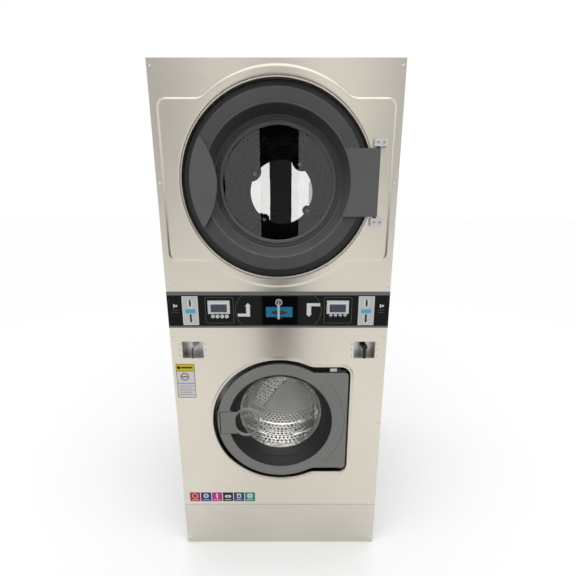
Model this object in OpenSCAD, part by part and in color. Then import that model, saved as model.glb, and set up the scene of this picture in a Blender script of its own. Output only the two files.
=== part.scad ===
// Coin-operated stack laundry unit: a tumble dryer above a front-loading washer in one cabinet.
// Millimetres. +X is the machine's right as seen from the front, +Y runs into the machine, +Z is up.
// The origin is on the floor, under the middle of the cabinet.

/* [Cabinet] */
// Width of the cabinet
body_w = 860; // [840:1:900]
// Depth of the cabinet, front panel to rear panel
body_d = 960; // [940:1:1040]
// Height of the cabinet
body_h = 1996; // [1990:1:2060]
// Thickness of the sheet steel
sheet = 1.5; // [1:0.5:2]
// Height of the plinth panel
plinth_h = 213; // [200:1:220]
// Height at which the washer's front panel ends
washer_top = 1058; // [1050:1:1060]
// Height at which the dryer's front panel begins
dryer_bottom = 1204; // [1200:1:1210]
// Inset of the panel screws from the side of the cabinet
screw_inset = 12; // [10:1:14]

/* [Dryer] */
// Height of the dryer's axis
dryer_z = 1600; // [1598:1:1602]
// Radius of the door opening in the dryer's front panel
dryer_open_r = 338; // [336:1:340]
// Outer radius of the door ring
door_ring_r = 309; // [305:1:311]
// Radius of the dryer's drum
dryer_drum_r = 370; // [365:1:371]
// How far the dryer's drum reaches back from the front plane
dryer_drum_back = 720; // [700:5:720]
// Radius of the bright disc at the back of the drum
hub_disc_r = 172; // [160:1:180]
// Angle of the first lifter
lifter_angle = 56; // [45:1:60]

/* [Washer] */
// Sideways place of the washer's axis
washer_x = 4; // [0:1:4]
// Height of the washer's axis
washer_z = 637; // [636:1:638]
// Radius of the round part of the washer's door opening
washer_open_r = 281; // [279:1:282]
// Outer radius of the washer's door ring
washer_ring_r = 263.5; // [262:0.5:264]
// Radius of the tub
tub_r = 330; // [325:1:335]
// Radius of the washer's drum
washer_drum_r = 305; // [300:1:306]

/* [Control panel] */
// Bottom of the glossy fascia
fascia_bottom = 1066; // [1064:1:1068]
// Top of the glossy fascia
fascia_top = 1190; // [1188:1:1192]
// Sideways place of each display
display_x = 230.5; // [228:0.5:232]
// Height of each display's middle
display_z = 1142; // [1140:1:1144]
// Sideways place of each coin plate
coin_x = 341; // [338:1:343]
// Height of a push button above the fascia, which is its travel
button_travel = 1.5; // [1:0.5:2]

/* [Services] */
// Outer radius of the exhaust collar
exhaust_r = 75; // [70:1:76]
// Outer radius of the drain pipe
drain_r = 25; // [20:1:26]
// Outer radius of a water inlet's thread
inlet_r = 13.2; // [13:0.1:13.4]
// Radius of the floor anchor holes
anchor_r = 7; // [6:0.5:8]

/* [Hidden] */
$fn = 96;
front_y = -body_d / 2;
half_w = body_w / 2;
inner_w = half_w - sheet;
fold = 28;
eps = 0.5;
run_gap = 0.05;
screw_x = half_w - screw_inset;
screw_zs = [1971, dryer_z, 1227, 1023, washer_z - 1, 247.5, 181, 28.5];
screw_hole_r = 2.3;

// Dryer front: the raised field is a wide rounded rectangle joined to a disc
emboss_h = 4;
emboss_half_w = 403;
emboss_half_h = 275;
emboss_corner = 28;
emboss_disc_r = 375;
emboss_fillet = 60;
lip_in = 16;

// Dryer door, measured back from the front plane
ring_front = -12;
ring_back = 14;
cone_front_r = 259.5;
cone_back_r = 236;
cone_back = 45;
inner_ring_r = 217;
window_r = 203;
glass_back = 80;
dryer_axis = [350, -14];
hinge_lo = 1485;
hinge_hi = 1715;
hinge_right = 356;
hinge_front = -20;
hinge_pin_r = 4;
block_w = 43;
block_h = 25;

// Dryer drive
bulkhead_y = 20;
collar_r = 290;
rear_bulkhead_y = 742;
motor_c = [-330, 1275];
motor_pulley_r = 14;
belt_y = 600;
belt_w = 16;
belt_gap = 0.5;
belt_t = 3;
dryer_shaft_r = 20;
motor_shaft_r = 7;
fan_c_y = 768;
fan_r = 74;
fan_w = 86;
scroll_r = 92;
duct_x = -95;
duct_z = 1300;
exhaust_out = 60;

// Washer door, measured from the washer's axis and back from the front plane
door_front = -3;
door_back = 12;
door_right = 280.5;
door_half_h = 226;
w_cone_front_r = 219;
w_cone_back_r = 180;
w_cone_back = 65;
washer_axis = [266, 9];
washer_pin_r = 5;
handle_c = [-137, 637];

// Washer tub and drive
tub_front = 72;
tub_back = 560;
drum_front = 92;
drum_back = 530;
washer_shaft_r = 17.5;
pulley_y = 650;
pulley_w = 20;
drum_pulley_r = 150;
washer_pulley_r = 22;
washer_motor_c = [washer_x, 190];

// Drain pipe
drain_x = 220;
drain_z = 112;
drain_pipe_r = drain_r - 3;
drain_bore_r = drain_r - 6;
sump_y = 300;
sump_r = 25;

// Cash box pockets
pocket_x = 343;
pocket_z = 964;
pocket_w = 86;
pocket_h = 72;
pocket_d = 45;
pocket_flange = 13;
pocket_screw_dx = 51;
pocket_screw_dz = [-25, 0, 25];

// Push buttons: round on the left display, oval on the right one
round_button_r = 7.3;
round_pitch = 18;
round_x = -255;
round_z = 1104.6;
oval_w = 12;
oval_h = 7.5;
oval_pitch = 18.6;
oval_x = 204;
oval_z = 1109.5;
lock_c = [2, 1161];
lock_r = 12;

// Everything below is drawn with y = 0 at the front plane and moved back as a whole
module at_front() translate([0, front_y, 0]) children();

// A flat outline in X and Z, given thickness t behind y
module slab(y, t) translate([0, y + t, 0]) rotate([90, 0, 0]) linear_extrude(t) children();

// A plate between two corners of the front view
module plate(x1, x2, z1, z2, y, t) translate([x1, y, z1]) cube([x2 - x1, t, z2 - z1]);

// A rod along Y at [x, z]
module yrod(c, r, y1, y2) translate([c[0], y1, c[1]]) rotate([-90, 0, 0]) cylinder(r = r, h = y2 - y1);

// A turned shape along Y at [x, z], from points [radius, y]
module turned(c, points) translate([c[0], 0, c[1]]) rotate([-90, 0, 0]) rotate_extrude() polygon(points);

function arc(c, r, a1, a2, n) = [for (i = [0:n]) let (a = a1 + (a2 - a1) * i / n) c + r * [cos(a), sin(a)]];

// Half of an outline that joins a wide rounded rectangle to a disc; the other half is its negative
function lobed_half(hw, hh, rc, big_r, rf) =
    let (xf = sqrt(pow(big_r + rf, 2) - pow(hh + rf, 2)), b = atan2(hh + rf, xf))
    concat(arc([hw - rc, hh - rc], rc, 0, 90, 8), arc([xf, hh + rf], rf, 270, 180 + b, 6),
        arc([0, 0], big_r, b, 180 - b, 28), arc([-xf, hh + rf], rf, -b, -90, 6),
        arc([rc - hw, hh - rc], rc, 90, 180, 8));

module emboss_outline(inset) {
    half = lobed_half(emboss_half_w - inset, emboss_half_h - inset, emboss_corner - inset,
        emboss_disc_r - inset, emboss_fillet + inset);
    translate([0, dryer_z]) polygon(concat(half, [for (p = half) -p]));
}

// A disc with a rounded square joined to its right side
module keyhole_outline(big_r, right, hh, rc, rf) {
    xf = sqrt(pow(big_r + rf, 2) - pow(hh + rf, 2));
    b = atan2(hh + rf, xf);
    translate([washer_x, washer_z])
        polygon(concat(arc([right - rc, hh - rc], rc, 0, 90, 6), arc([xf, hh + rf], rf, 270, 180 + b, 6),
            arc([0, 0], big_r, b, 360 - b, 90), arc([xf, -hh - rf], rf, 180 - b, 90, 6),
            arc([right - rc, rc - hh], rc, 270, 360, 6)));
}

module washer_opening(o) keyhole_outline(washer_open_r + o, 286 + o, 249 + o, 36 + o, 60 - o);
module washer_door_outline(o)
    keyhole_outline(washer_ring_r + o, door_right + o, door_half_h + o, 14 + o, 30 - o);

// Outline of a belt that runs round two circles
function belt_loop(c1, r1, c2, r2) =
    let (d = norm(c2 - c1), f = atan2(c2[1] - c1[1], c2[0] - c1[0]), a = acos((r1 - r2) / d))
    concat(arc(c1, r1, f + a, f + 360 - a, 72), arc(c2, r2, f - a, f + a, 12));

module belt(c1, r1, c2, r2, y, w) {
    slab(y, w)
        difference() {
            polygon(belt_loop(c1, r1 + belt_gap + belt_t, c2, r2 + belt_gap + belt_t));
            polygon(belt_loop(c1, r1 + belt_gap, c2, r2 + belt_gap));
        }
}

// A slot with round ends, long in Z
module upright_slot(w, h) {
    square([w, h - w], center = true);
    for (s = [-1, 1]) translate([0, s * (h - w) / 2]) circle(d = w);
}

// ---------- Cabinet ----------

rail = 50;
rail_h = 60;
rail_t = 4;
rail_ys = [5, 455, 620, 905];
cradle_ys = [150, 396];
cradle_t = 6;
anchor_x = inner_w - rail / 2;
anchor_y = 400;

module rails(inset) {
    for (s = [-1, 1])
        translate([s * (inner_w - rail / 2), body_d / 2, rail_h / 2])
            cube([rail - 2 * inset, body_d - 10 - 2 * inset, rail_h - 2 * inset], center = true);
    for (y = rail_ys)
        translate([0, y + rail / 2, rail_h / 2])
            cube([2 * inner_w - rail, rail - 2 * inset, rail_h - 2 * inset], center = true);
}

module base_frame() {
    color("dimgray") at_front() {
        difference() {
            rails(0);
            rails(rail_t);
            for (x = [-1, 1], y = [-1, 1])
                translate([x * anchor_x, body_d / 2 + y * anchor_y, -eps])
                    cylinder(r = anchor_r, h = rail_h + 1);
        }
        for (y = cradle_ys) {
            difference() {
                plate(-250, 250, rail_h, 420, y, cradle_t);
                yrod([washer_x, washer_z], tub_r, y - eps, y + cradle_t + eps);
                yrod([drain_x, drain_z], drain_r + 3, y - eps, y + cradle_t + eps);
            }
            translate([-inner_w + rail, y - 22, rail_h - 8]) cube([2 * (inner_w - rail), 50, 8]);
        }
    }
}

module side_panel() {
    difference() {
        union() {
            translate([inner_w, sheet, 2]) cube([sheet, body_d - 2 * sheet, body_h - 4]);
            for (y = [sheet, body_d - 2 * sheet])
                translate([inner_w - fold, y, 2]) cube([fold + eps, sheet, body_h - 4]);
        }
        for (z = screw_zs) yrod([screw_x, z], screw_hole_r, 0, 2 * sheet + eps);
    }
}

module left_side_panel() {
    color("lightgray") at_front() mirror([1, 0, 0]) side_panel();
}

module right_side_panel() {
    color("lightgray") at_front() side_panel();
}

module top_cover() {
    color("lightgray") at_front() {
        translate([-half_w, sheet, body_h - 2]) cube([body_w, body_d - 2 * sheet, 2]);
        for (y = [2 * sheet, body_d - 3 * sheet])
            translate([-inner_w, y, body_h - 22]) cube([2 * inner_w, sheet, 20 + eps]);
    }
}

valve_xs = [-60, 60];
valve_z = 1000;
inlet_y = 450;
fill_pipe_r = 12;
gland_c = [340, 900];
gland_r = 10;

module rear_panels() {
    color("lightgray") at_front()
        difference() {
            union() {
                plate(-half_w, half_w, washer_top + 2, body_h - 2, body_d - sheet, sheet);
                plate(-half_w, half_w, 5, washer_top - 2, body_d - sheet, sheet);
                yrod(gland_c, gland_r + 6, body_d - sheet, body_d + 20);
            }
            yrod([duct_x, duct_z], exhaust_r + 1, body_d - 5, body_d + 5);
            yrod([drain_x, drain_z], drain_r + 1, body_d - 5, body_d + 5);
            yrod(gland_c, gland_r, body_d - 5, body_d + 25);
            for (x = valve_xs) yrod([x, valve_z], inlet_r + 1, body_d - 5, body_d + 5);
        }
}

duct_in_w = 360;
shaft_y = 25;
shaft_d = 29;
scroll_t = 1.5;
scroll_y1 = 748;
scroll_y2 = 872;
plenum_half = 84;
lint_z1 = 1080;
lint_z2 = dryer_bottom - 30;
lint_y2 = 940;
riser_x1 = -423;
riser_x2 = -238;
riser_top = 1345;

module middle_deck() {
    color("lightgray") at_front()
        difference() {
            union() {
                translate([-inner_w, 2 * sheet, dryer_bottom]) cube([2 * inner_w, body_d - 4 * sheet, 2]);
                for (s = [-1, 1])
                    translate([s * (inner_w - sheet / 2) - sheet / 2, 10, dryer_bottom - 25])
                        cube([sheet, body_d - 20, 25 + eps]);
            }
            translate([-duct_in_w / 2, shaft_y - 1, dryer_bottom - 5]) cube([duct_in_w, shaft_d + 2, 10]);
            translate([riser_x1 - 2, scroll_y1 - 2, dryer_bottom - 5])
                cube([duct_x + plenum_half - riser_x1 + 4, scroll_y2 - scroll_y1 + 4, 10]);
            translate([riser_x1 - 2, scroll_y2 - 1, dryer_bottom - 5])
                cube([riser_x2 - riser_x1 + 4, lint_y2 - scroll_y2 + 3, 10]);
        }
}

module dryer_front_panel() {
    color("silver") at_front()
        difference() {
            union() {
                difference() {
                    union() {
                        plate(-half_w, half_w, dryer_bottom, body_h, 0, sheet);
                        slab(-emboss_h, emboss_h + sheet) emboss_outline(0);
                    }
                    slab(sheet - emboss_h, emboss_h + eps) emboss_outline(sheet);
                }
                yrod([0, dryer_z], dryer_open_r + sheet, sheet - emboss_h - eps, lip_in);
            }
            yrod([0, dryer_z], dryer_open_r, -emboss_h - 1, lip_in + 1);
            for (s = [-1, 1], i = [0:2]) yrod([s * screw_x, screw_zs[i]], screw_hole_r, -1, sheet + 1);
        }
}

rim_w = 4;
rim_out = 3;
rim_in = 12;

module washer_front_panel() {
    color("silver") at_front()
        difference() {
            union() {
                plate(-half_w, half_w, plinth_h, washer_top, 0, sheet);
                slab(-rim_out, rim_out + rim_in) washer_opening(rim_w);
            }
            slab(-rim_out - 1, rim_out + rim_in + 2) washer_opening(0);
            for (s = [-1, 1]) {
                plate(s * pocket_x - pocket_w / 2, s * pocket_x + pocket_w / 2,
                    pocket_z - pocket_h / 2, pocket_z + pocket_h / 2, -1, sheet + 2);
                for (t = [-1, 1], dz = pocket_screw_dz)
                    yrod([s * pocket_x + t * pocket_screw_dx, pocket_z + dz], 1.7, -1, sheet + 1);
                for (i = [3:5]) yrod([s * screw_x, screw_zs[i]], screw_hole_r, -1, sheet + 1);
            }
        }
}

module plinth_panel() {
    color("silver") at_front()
        difference() {
            union() {
                plate(-half_w, half_w, 1, plinth_h - 1, 0, sheet);
                translate([sheet - inner_w + fold, 0, plinth_h - 2 * sheet])
                    cube([2 * (inner_w - fold - sheet), 14, sheet]);
            }
            for (s = [-1, 1], i = [6:7]) yrod([s * screw_x, screw_zs[i]], screw_hole_r, -1, sheet + 1);
        }
}

module screw(c, head_r, head_h, shank_r, shank_l) {
    yrod(c, head_r, -head_h, 0);
    yrod(c, shank_r, -eps, shank_l);
}

module panel_screws() {
    color("whitesmoke") at_front()
        for (s = [-1, 1]) {
            for (z = screw_zs) screw([s * screw_x, z], 5, 1.8, 2, 4.5);
            for (t = [-1, 1], dz = pocket_screw_dz)
                screw([s * pocket_x + t * pocket_screw_dx, pocket_z + dz], 2.6, 1, 1.4, 3.5);
        }
}

// ---------- Control panel ----------

fascia_t = 3;
display_w = 85;
display_h = 53;
lcd_w = 65;
lcd_h = 33;
lcd_drop = 4;
coin_w = 62;
coin_h = 117;
coin_z = 1128;
coin_slot_w = 3.2;
coin_slots = [[1159, 25], [1097, 31]];
button_gap = 0.35;

module fascia_trims() {
    color("slategray") at_front() {
        plate(-half_w, half_w, fascia_top, dryer_bottom - eps, -sheet, 2 * sheet);
        plate(-half_w, half_w, washer_top + eps, fascia_bottom, -sheet, 2 * sheet);
    }
}

module control_fascia() {
    color("#151515") at_front()
        difference() {
            union() {
                plate(-half_w, half_w, fascia_bottom, fascia_top, 0, sheet);
                plate(1 + fold - inner_w, inner_w - fold - 1, fascia_bottom, fascia_top, 0, fascia_t);
            }
            for (s = [-1, 1]) {
                plate(s * display_x - display_w / 2 + 3, s * display_x + display_w / 2 - 3,
                    display_z - display_h / 2 + 3, display_z + display_h / 2 - 3, -1, fascia_t + 2);
                for (c = coin_slots)
                    slab(-1, fascia_t + 2)
                        translate([s * coin_x, c[0]]) square([coin_slot_w + 4, c[1] + 4], center = true);
            }
            for (i = [0:3]) {
                yrod([round_x + i * round_pitch, round_z], round_button_r + button_gap, -1, fascia_t + 1);
                slab(-1, fascia_t + 2) translate([oval_x + i * oval_pitch, oval_z]) rotate(90)
                    upright_slot(oval_h + 2 * button_gap, oval_w + 2 * button_gap);
            }
            yrod(lock_c, lock_r + run_gap, -1, fascia_t + 1);
        }
}

module display_modules() {
    color("white") at_front()
        for (s = [-1, 1])
            difference() {
                union() {
                    plate(s * display_x - display_w / 2, s * display_x + display_w / 2,
                        display_z - display_h / 2, display_z + display_h / 2, -2.5, 2.5);
                    plate(s * display_x - display_w / 2 + 3.5, s * display_x + display_w / 2 - 3.5,
                        display_z - display_h / 2 + 3.5, display_z + display_h / 2 - 3.5, -1, 20);
                }
                plate(s * display_x - lcd_w / 2, s * display_x + lcd_w / 2,
                    display_z - lcd_drop - lcd_h / 2, display_z - lcd_drop + lcd_h / 2, -3, 2);
            }
}

module coin_plates() {
    color("gainsboro") at_front()
        for (s = [-1, 1])
            difference() {
                plate(s * coin_x - coin_w / 2, s * coin_x + coin_w / 2,
                    coin_z - coin_h / 2, coin_z + coin_h / 2, -2, 2);
                for (c = coin_slots)
                    slab(-3, 4) translate([s * coin_x, c[0]]) upright_slot(coin_slot_w, c[1]);
            }
}

module round_button(i) {
    c = [round_x + (i - 1) * round_pitch, round_z];
    color("white") at_front() {
        yrod(c, round_button_r, -button_travel, fascia_t + 1);
        yrod(c, round_button_r + 1.2, fascia_t + 0.1, fascia_t + 1.5);
        yrod(c, 2.5, fascia_t + 1, fascia_t + 7);
    }
}

module oval_button(i) {
    c = [oval_x + (i - 1) * oval_pitch, oval_z];
    color("white") at_front() {
        slab(-button_travel, fascia_t + button_travel + 1)
            translate(c) rotate(90) upright_slot(oval_h, oval_w);
        slab(fascia_t + 0.1, 1.4) translate(c) rotate(90) upright_slot(oval_h + 2.4, oval_w + 2.4);
        yrod(c, 2.5, fascia_t + 1, fascia_t + 7);
    }
}

module round_button_1() round_button(1);
module round_button_2() round_button(2);
module round_button_3() round_button(3);
module round_button_4() round_button(4);
module oval_button_1() oval_button(1);
module oval_button_2() oval_button(2);
module oval_button_3() oval_button(3);
module oval_button_4() oval_button(4);

// A key in a lock whose face is at y: shank, edge-on head, and a fob that hangs in front of it
module key(c, y, head, head_l, front, fob) {
    yrod(c, 2.5, front + head_l - 1, y + 1);
    plate(c[0] - head[0] / 2, c[0] + head[0] / 2, c[1] - head[1] / 2, c[1] + head[1] / 2, front, head_l);
    slab(front - 2, 2.5) translate([c[0], c[1] - fob[1] / 2]) upright_slot(fob[0], fob[1]);
}

module fascia_lock() {
    color("silver") at_front() {
        yrod(lock_c, lock_r + 1.5, -2, -0.1);
        yrod(lock_c, lock_r, -1, 24);
        key(lock_c, -1, [3, 20], 17, -26, [9, 59]);
    }
}

module pocket_shell(w, h, d) {
    difference() {
        union() {
            translate([-w / 2 - pocket_flange, sheet, -h / 2 - 4])
                cube([w + 2 * pocket_flange, sheet, h + 8]);
            translate([-w / 2, sheet, -h / 2]) cube([w, d - sheet, h]);
        }
        translate([-w / 2 + sheet, 0, -h / 2 + sheet]) cube([w - 2 * sheet, d - sheet, h - 2 * sheet]);
    }
}

cash_lock_dz = 12;
cash_lock_r = 10;

module cash_box_pockets() {
    color("darkgray") at_front()
        for (s = [-1, 1])
            difference() {
                translate([s * pocket_x, 0, pocket_z]) pocket_shell(pocket_w, pocket_h, pocket_d);
                yrod([s * pocket_x, pocket_z + cash_lock_dz], cash_lock_r + run_gap,
                    pocket_d - 5, pocket_d + 5);
                for (t = [-1, 1], dz = pocket_screw_dz)
                    yrod([s * pocket_x + t * pocket_screw_dx, pocket_z + dz], 1.7, 0, 2 * sheet + 1);
            }
}

module cash_lock(s, head, fob) {
    c = [s * pocket_x, pocket_z + cash_lock_dz];
    color("dimgray") at_front() {
        yrod(c, cash_lock_r + 2, pocket_d - 12, pocket_d - sheet - 0.1);
        yrod(c, cash_lock_r, pocket_d - 5, pocket_d + 22);
        key(c, pocket_d - 12, head, 22, -3, fob);
    }
}

module left_cash_lock() cash_lock(-1, [6, 22], [5, 48]);
module right_cash_lock() cash_lock(1, [22, 10], [14, 48]);

// ---------- Dryer, fixed pieces ----------

module dryer_front_bulkhead() {
    color("#202020") at_front()
        difference() {
            union() {
                plate(-inner_w + 1, inner_w - 1, dryer_bottom + 2, body_h - 24, bulkhead_y, sheet);
                yrod([0, dryer_z], collar_r + 2, bulkhead_y, 66);
                turned([0, dryer_z], [[collar_r + 6, 15], [collar_r + 16, 15],
                    [collar_r + 16, bulkhead_y + eps], [collar_r + 6, bulkhead_y + eps]]);
            }
            yrod([0, dryer_z], collar_r, bulkhead_y - 1, 67);
            translate([-150, 24, dryer_z - collar_r - 5]) cube([300, 30, 60]);
        }
}

hub_r = 55;
vent_w = 300;
vent_z1 = 1775;
vent_z2 = 1905;

module dryer_rear_bulkhead() {
    color("lightgray") at_front()
        difference() {
            union() {
                plate(-inner_w + 1, inner_w - 1, dryer_bottom + 2, body_h - 24, rear_bulkhead_y, 2);
                yrod([0, dryer_z], hub_r, rear_bulkhead_y, rear_bulkhead_y + 88);
                for (a = [0:60:300])
                    translate([0, 0, dryer_z]) rotate([0, a, 0])
                        translate([-4, rear_bulkhead_y, 30]) cube([8, 60, 138]);
            }
            yrod([0, dryer_z], dryer_shaft_r + run_gap, rear_bulkhead_y - 1, rear_bulkhead_y + 90);
            plate(-vent_w / 2 + 10, vent_w / 2 - 10, vent_z1 + 10, vent_z2 - 10, rear_bulkhead_y - 1, 4);
            yrod(motor_c, motor_shaft_r + 6, rear_bulkhead_y - 1, rear_bulkhead_y + 3);
        }
}

motor_r = 62;
motor_y1 = 628;
motor_y2 = 732;

module dryer_motor() {
    color("steelblue") at_front()
        difference() {
            union() {
                yrod(motor_c, motor_r, motor_y1, motor_y2);
                translate([motor_c[0] - 50, motor_y1 + 10, dryer_bottom + 2])
                    cube([100, motor_y2 - motor_y1 - 20, 30]);
            }
            yrod(motor_c, motor_shaft_r + run_gap, motor_y1 - 1, motor_y2 + 1);
        }
}

module dryer_belt() {
    color("#181818") at_front()
        belt([0, dryer_z], dryer_drum_r, motor_c, motor_pulley_r, belt_y, belt_w);
}

throat_z1 = 1186;
throat_z2 = 1250;

module blower_housing() {
    color("lightgray") at_front()
        difference() {
            union() {
                yrod(motor_c, scroll_r, scroll_y1, scroll_y2);
                plate(motor_c[0], duct_x - plenum_half, throat_z1, throat_z2,
                    scroll_y1, scroll_y2 - scroll_y1);
            }
            yrod(motor_c, scroll_r - scroll_t, scroll_y1 + scroll_t, scroll_y2 - scroll_t);
            plate(motor_c[0], duct_x - plenum_half + 1, throat_z1 + scroll_t, throat_z2 - scroll_t,
                scroll_y1 + scroll_t, scroll_y2 - scroll_y1 - 2 * scroll_t);
            yrod(motor_c, motor_shaft_r + 4, scroll_y1 - 1, scroll_y1 + 5);
            yrod(motor_c, 55, scroll_y2 - 5, scroll_y2 + 1);
        }
}

module exhaust_duct() {
    z1 = throat_z1 + 10;
    z2 = duct_z + exhaust_r + 6;
    color("gainsboro") at_front()
        difference() {
            union() {
                plate(duct_x - plenum_half, duct_x + plenum_half, z1, z2, scroll_y1, scroll_y2 - scroll_y1);
                yrod([duct_x, duct_z], exhaust_r, scroll_y2 - 1, body_d + exhaust_out);
            }
            plate(duct_x - plenum_half + scroll_t, duct_x + plenum_half - scroll_t,
                z1 + scroll_t, z2 - scroll_t, scroll_y1 + scroll_t, scroll_y2 - scroll_y1 - 2 * scroll_t);
            plate(duct_x - plenum_half - 1, duct_x, z1 + scroll_t, throat_z2 - scroll_t,
                scroll_y1 + scroll_t, scroll_y2 - scroll_y1 - 2 * scroll_t);
            yrod([duct_x, duct_z], exhaust_r - scroll_t, scroll_y2 - 3, body_d + exhaust_out + 1);
        }
}

module heater_box() {
    color("gainsboro") at_front()
        difference() {
            plate(-vent_w / 2, vent_w / 2, vent_z1, vent_z2, rear_bulkhead_y + 62, 140);
            plate(-vent_w / 2 + scroll_t, vent_w / 2 - scroll_t, vent_z1 + scroll_t, vent_z2 - scroll_t,
                rear_bulkhead_y + 61, 140 - scroll_t);
            plate(-60, 60, vent_z1 + 30, vent_z2 - 30, rear_bulkhead_y + 190, 30);
        }
    color("darkgray") at_front() {
        for (z = [vent_z1 + 35, (vent_z1 + vent_z2) / 2, vent_z2 - 35])
            translate([-vent_w / 2 + scroll_t, rear_bulkhead_y + 110, z]) rotate([0, 90, 0])
                cylinder(r = 4, h = vent_w - 2 * scroll_t);
        difference() {
            plate(-vent_w / 2, vent_w / 2, vent_z1, vent_z2, rear_bulkhead_y + 2, 60);
            plate(-vent_w / 2 + scroll_t, vent_w / 2 - scroll_t, vent_z1 + scroll_t, vent_z2 - scroll_t,
                rear_bulkhead_y + 1, 62);
        }
    }
}

// The duct's outer shape, shrunk on every side for the air space inside
module duct_shape(t) {
    hw = duct_in_w / 2 - 1 - t;
    translate([-hw, shaft_y + t, lint_z1 + t])
        cube([2 * hw, shaft_d - 2 * t, dryer_bottom + 2 - lint_z1]);
    translate([-hw, shaft_y + t, lint_z1 + t])
        cube([2 * hw, lint_y2 - shaft_y - 2 * t, lint_z2 - lint_z1 - 2 * t]);
    translate([riser_x1 + t, scroll_y2 + 1 + t, lint_z1 + t])
        cube([hw - riser_x1 - t, lint_y2 - scroll_y2 - 1 - 2 * t, lint_z2 - lint_z1 - 2 * t]);
    translate([riser_x1 + t, scroll_y2 + 1 + t, lint_z1 + t])
        cube([riser_x2 - riser_x1 - 2 * t, lint_y2 - scroll_y2 - 1 - 2 * t, riser_top - lint_z1 - 2 * t]);
}

module lint_duct() {
    hw = duct_in_w / 2 - 1 - scroll_t;
    color("gainsboro") at_front() {
        difference() {
            duct_shape(0);
            duct_shape(scroll_t);
            yrod(motor_c, 56, scroll_y2 - 1, scroll_y2 + 5);
        }
        difference() {
            translate([-hw, 300, lint_z1 + scroll_t]) cube([2 * hw, 6, lint_z2 - lint_z1 - 2 * scroll_t]);
            translate([-hw + 14, 299, lint_z1 + 14]) cube([2 * hw - 28, 5, lint_z2 - lint_z1 - 28]);
        }
    }
}

module door_hinge_brackets() {
    color("whitesmoke") at_front() {
        for (z = [hinge_hi + 6, hinge_lo - 6 - block_h])
            translate([334, -22, z]) cube([block_w, 22 - emboss_h, block_h]);
        for (z = [hinge_hi - 15, hinge_lo - 6 - eps])
            translate([dryer_axis[0], dryer_axis[1], z]) cylinder(r = hinge_pin_r, h = 15 + 6 + eps);
        for (z = [washer_z + door_half_h + 3.5, washer_z - door_half_h - 9.5]) {
            translate([washer_axis[0] - 9, 1, z]) cube([18, 22, 6]);
            translate([washer_axis[0] - 9, rim_in + eps, z]) cube([70, 23 - rim_in - eps, 6]);
            translate([washer_axis[0] + 40, sheet, z - 12]) cube([21, 3, 30]);
            translate([washer_axis[0] + 40, sheet, z]) cube([21, 12, 6]);
        }
        for (z = [washer_z + door_half_h - 40, washer_z - door_half_h - 8])
            translate([washer_axis[0], washer_axis[1], z]) cylinder(r = washer_pin_r, h = 48);
    }
}

// ---------- Washer, fixed pieces ----------

module washer_tub() {
    c = [washer_x, washer_z];
    color("darkgray") at_front()
        difference() {
            union() {
                yrod(c, tub_r, tub_front, tub_back);
                translate([washer_x, sump_y, washer_z - tub_r - 22]) cylinder(r = sump_r + 3, h = 60);
                translate([washer_x, inlet_y, washer_z + tub_r - 30]) cylinder(r = 15, h = 50);
            }
            yrod(c, tub_r - 2, tub_front + 2, tub_back - 4);
            yrod(c, 234, tub_front - 1, tub_front + 3);
            yrod(c, 30, tub_back - 5, tub_back + 1);
            translate([washer_x, sump_y, washer_z - tub_r - 23]) cylinder(r = sump_r, h = 60);
            translate([washer_x, inlet_y, washer_z + tub_r - 40]) cylinder(r = fill_pipe_r, h = 70);
        }
}

module door_gasket() {
    color("#242424") at_front()
        turned([washer_x, washer_z], [[216.8, 26], [222, 26], [231, 60], [246, 66], [246, tub_front],
            [233, tub_front], [233, 80], [187, 80], [187, 66]]);
}

module washer_bearing_housing() {
    c = [washer_x, washer_z];
    color("gray") at_front()
        difference() {
            union() {
                yrod(c, 60, tub_back, 640);
                for (a = [0:90:270])
                    translate([washer_x, 0, washer_z]) rotate([0, a + 45, 0])
                        translate([-15, tub_back, 40]) cube([30, 25, 250]);
            }
            yrod(c, washer_shaft_r + run_gap, tub_back - 1, 641);
        }
}

wm_r = 68;
wm_y1 = 440;
wm_y2 = 640;

module washer_motor() {
    color("steelblue") at_front()
        difference() {
            union() {
                yrod(washer_motor_c, wm_r, wm_y1, wm_y2);
                translate([washer_x - 55, wm_y1 + 15, rail_h]) cube([110, wm_y2 - wm_y1 - 15, 80]);
            }
            yrod(washer_motor_c, 9 + run_gap, wm_y1 + 50, wm_y2 + 1);
        }
}

module washer_belt() {
    color("#181818") at_front()
        belt([washer_x, washer_z], drum_pulley_r, washer_motor_c, washer_pulley_r,
            pulley_y + 1, pulley_w - 2);
}

module drain_valve() {
    color("#404448") at_front()
        difference() {
            union() {
                translate([washer_x, sump_y, 90]) cylinder(r = 34, h = washer_z - tub_r - 22 - 90);
                translate([washer_x, sump_y, drain_z]) rotate([0, 90, 0])
                    cylinder(r = drain_pipe_r, h = drain_x - washer_x);
                translate([drain_x, sump_y, drain_z]) sphere(r = drain_pipe_r);
                yrod([drain_x, drain_z], drain_pipe_r, sump_y, body_d);
                yrod([drain_x, drain_z], drain_r, body_d - 60, body_d + 28);
                translate([washer_x - 70, sump_y - 25, 150]) cube([50, 50, 60]);
            }
            translate([washer_x, sump_y, 100]) cylinder(r = sump_r, h = washer_z - tub_r - 100);
            translate([washer_x, sump_y, drain_z]) rotate([0, 90, 0])
                cylinder(r = drain_bore_r, h = drain_x - washer_x);
            yrod([drain_x, drain_z], drain_bore_r, sump_y, body_d + 30);
        }
}

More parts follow.
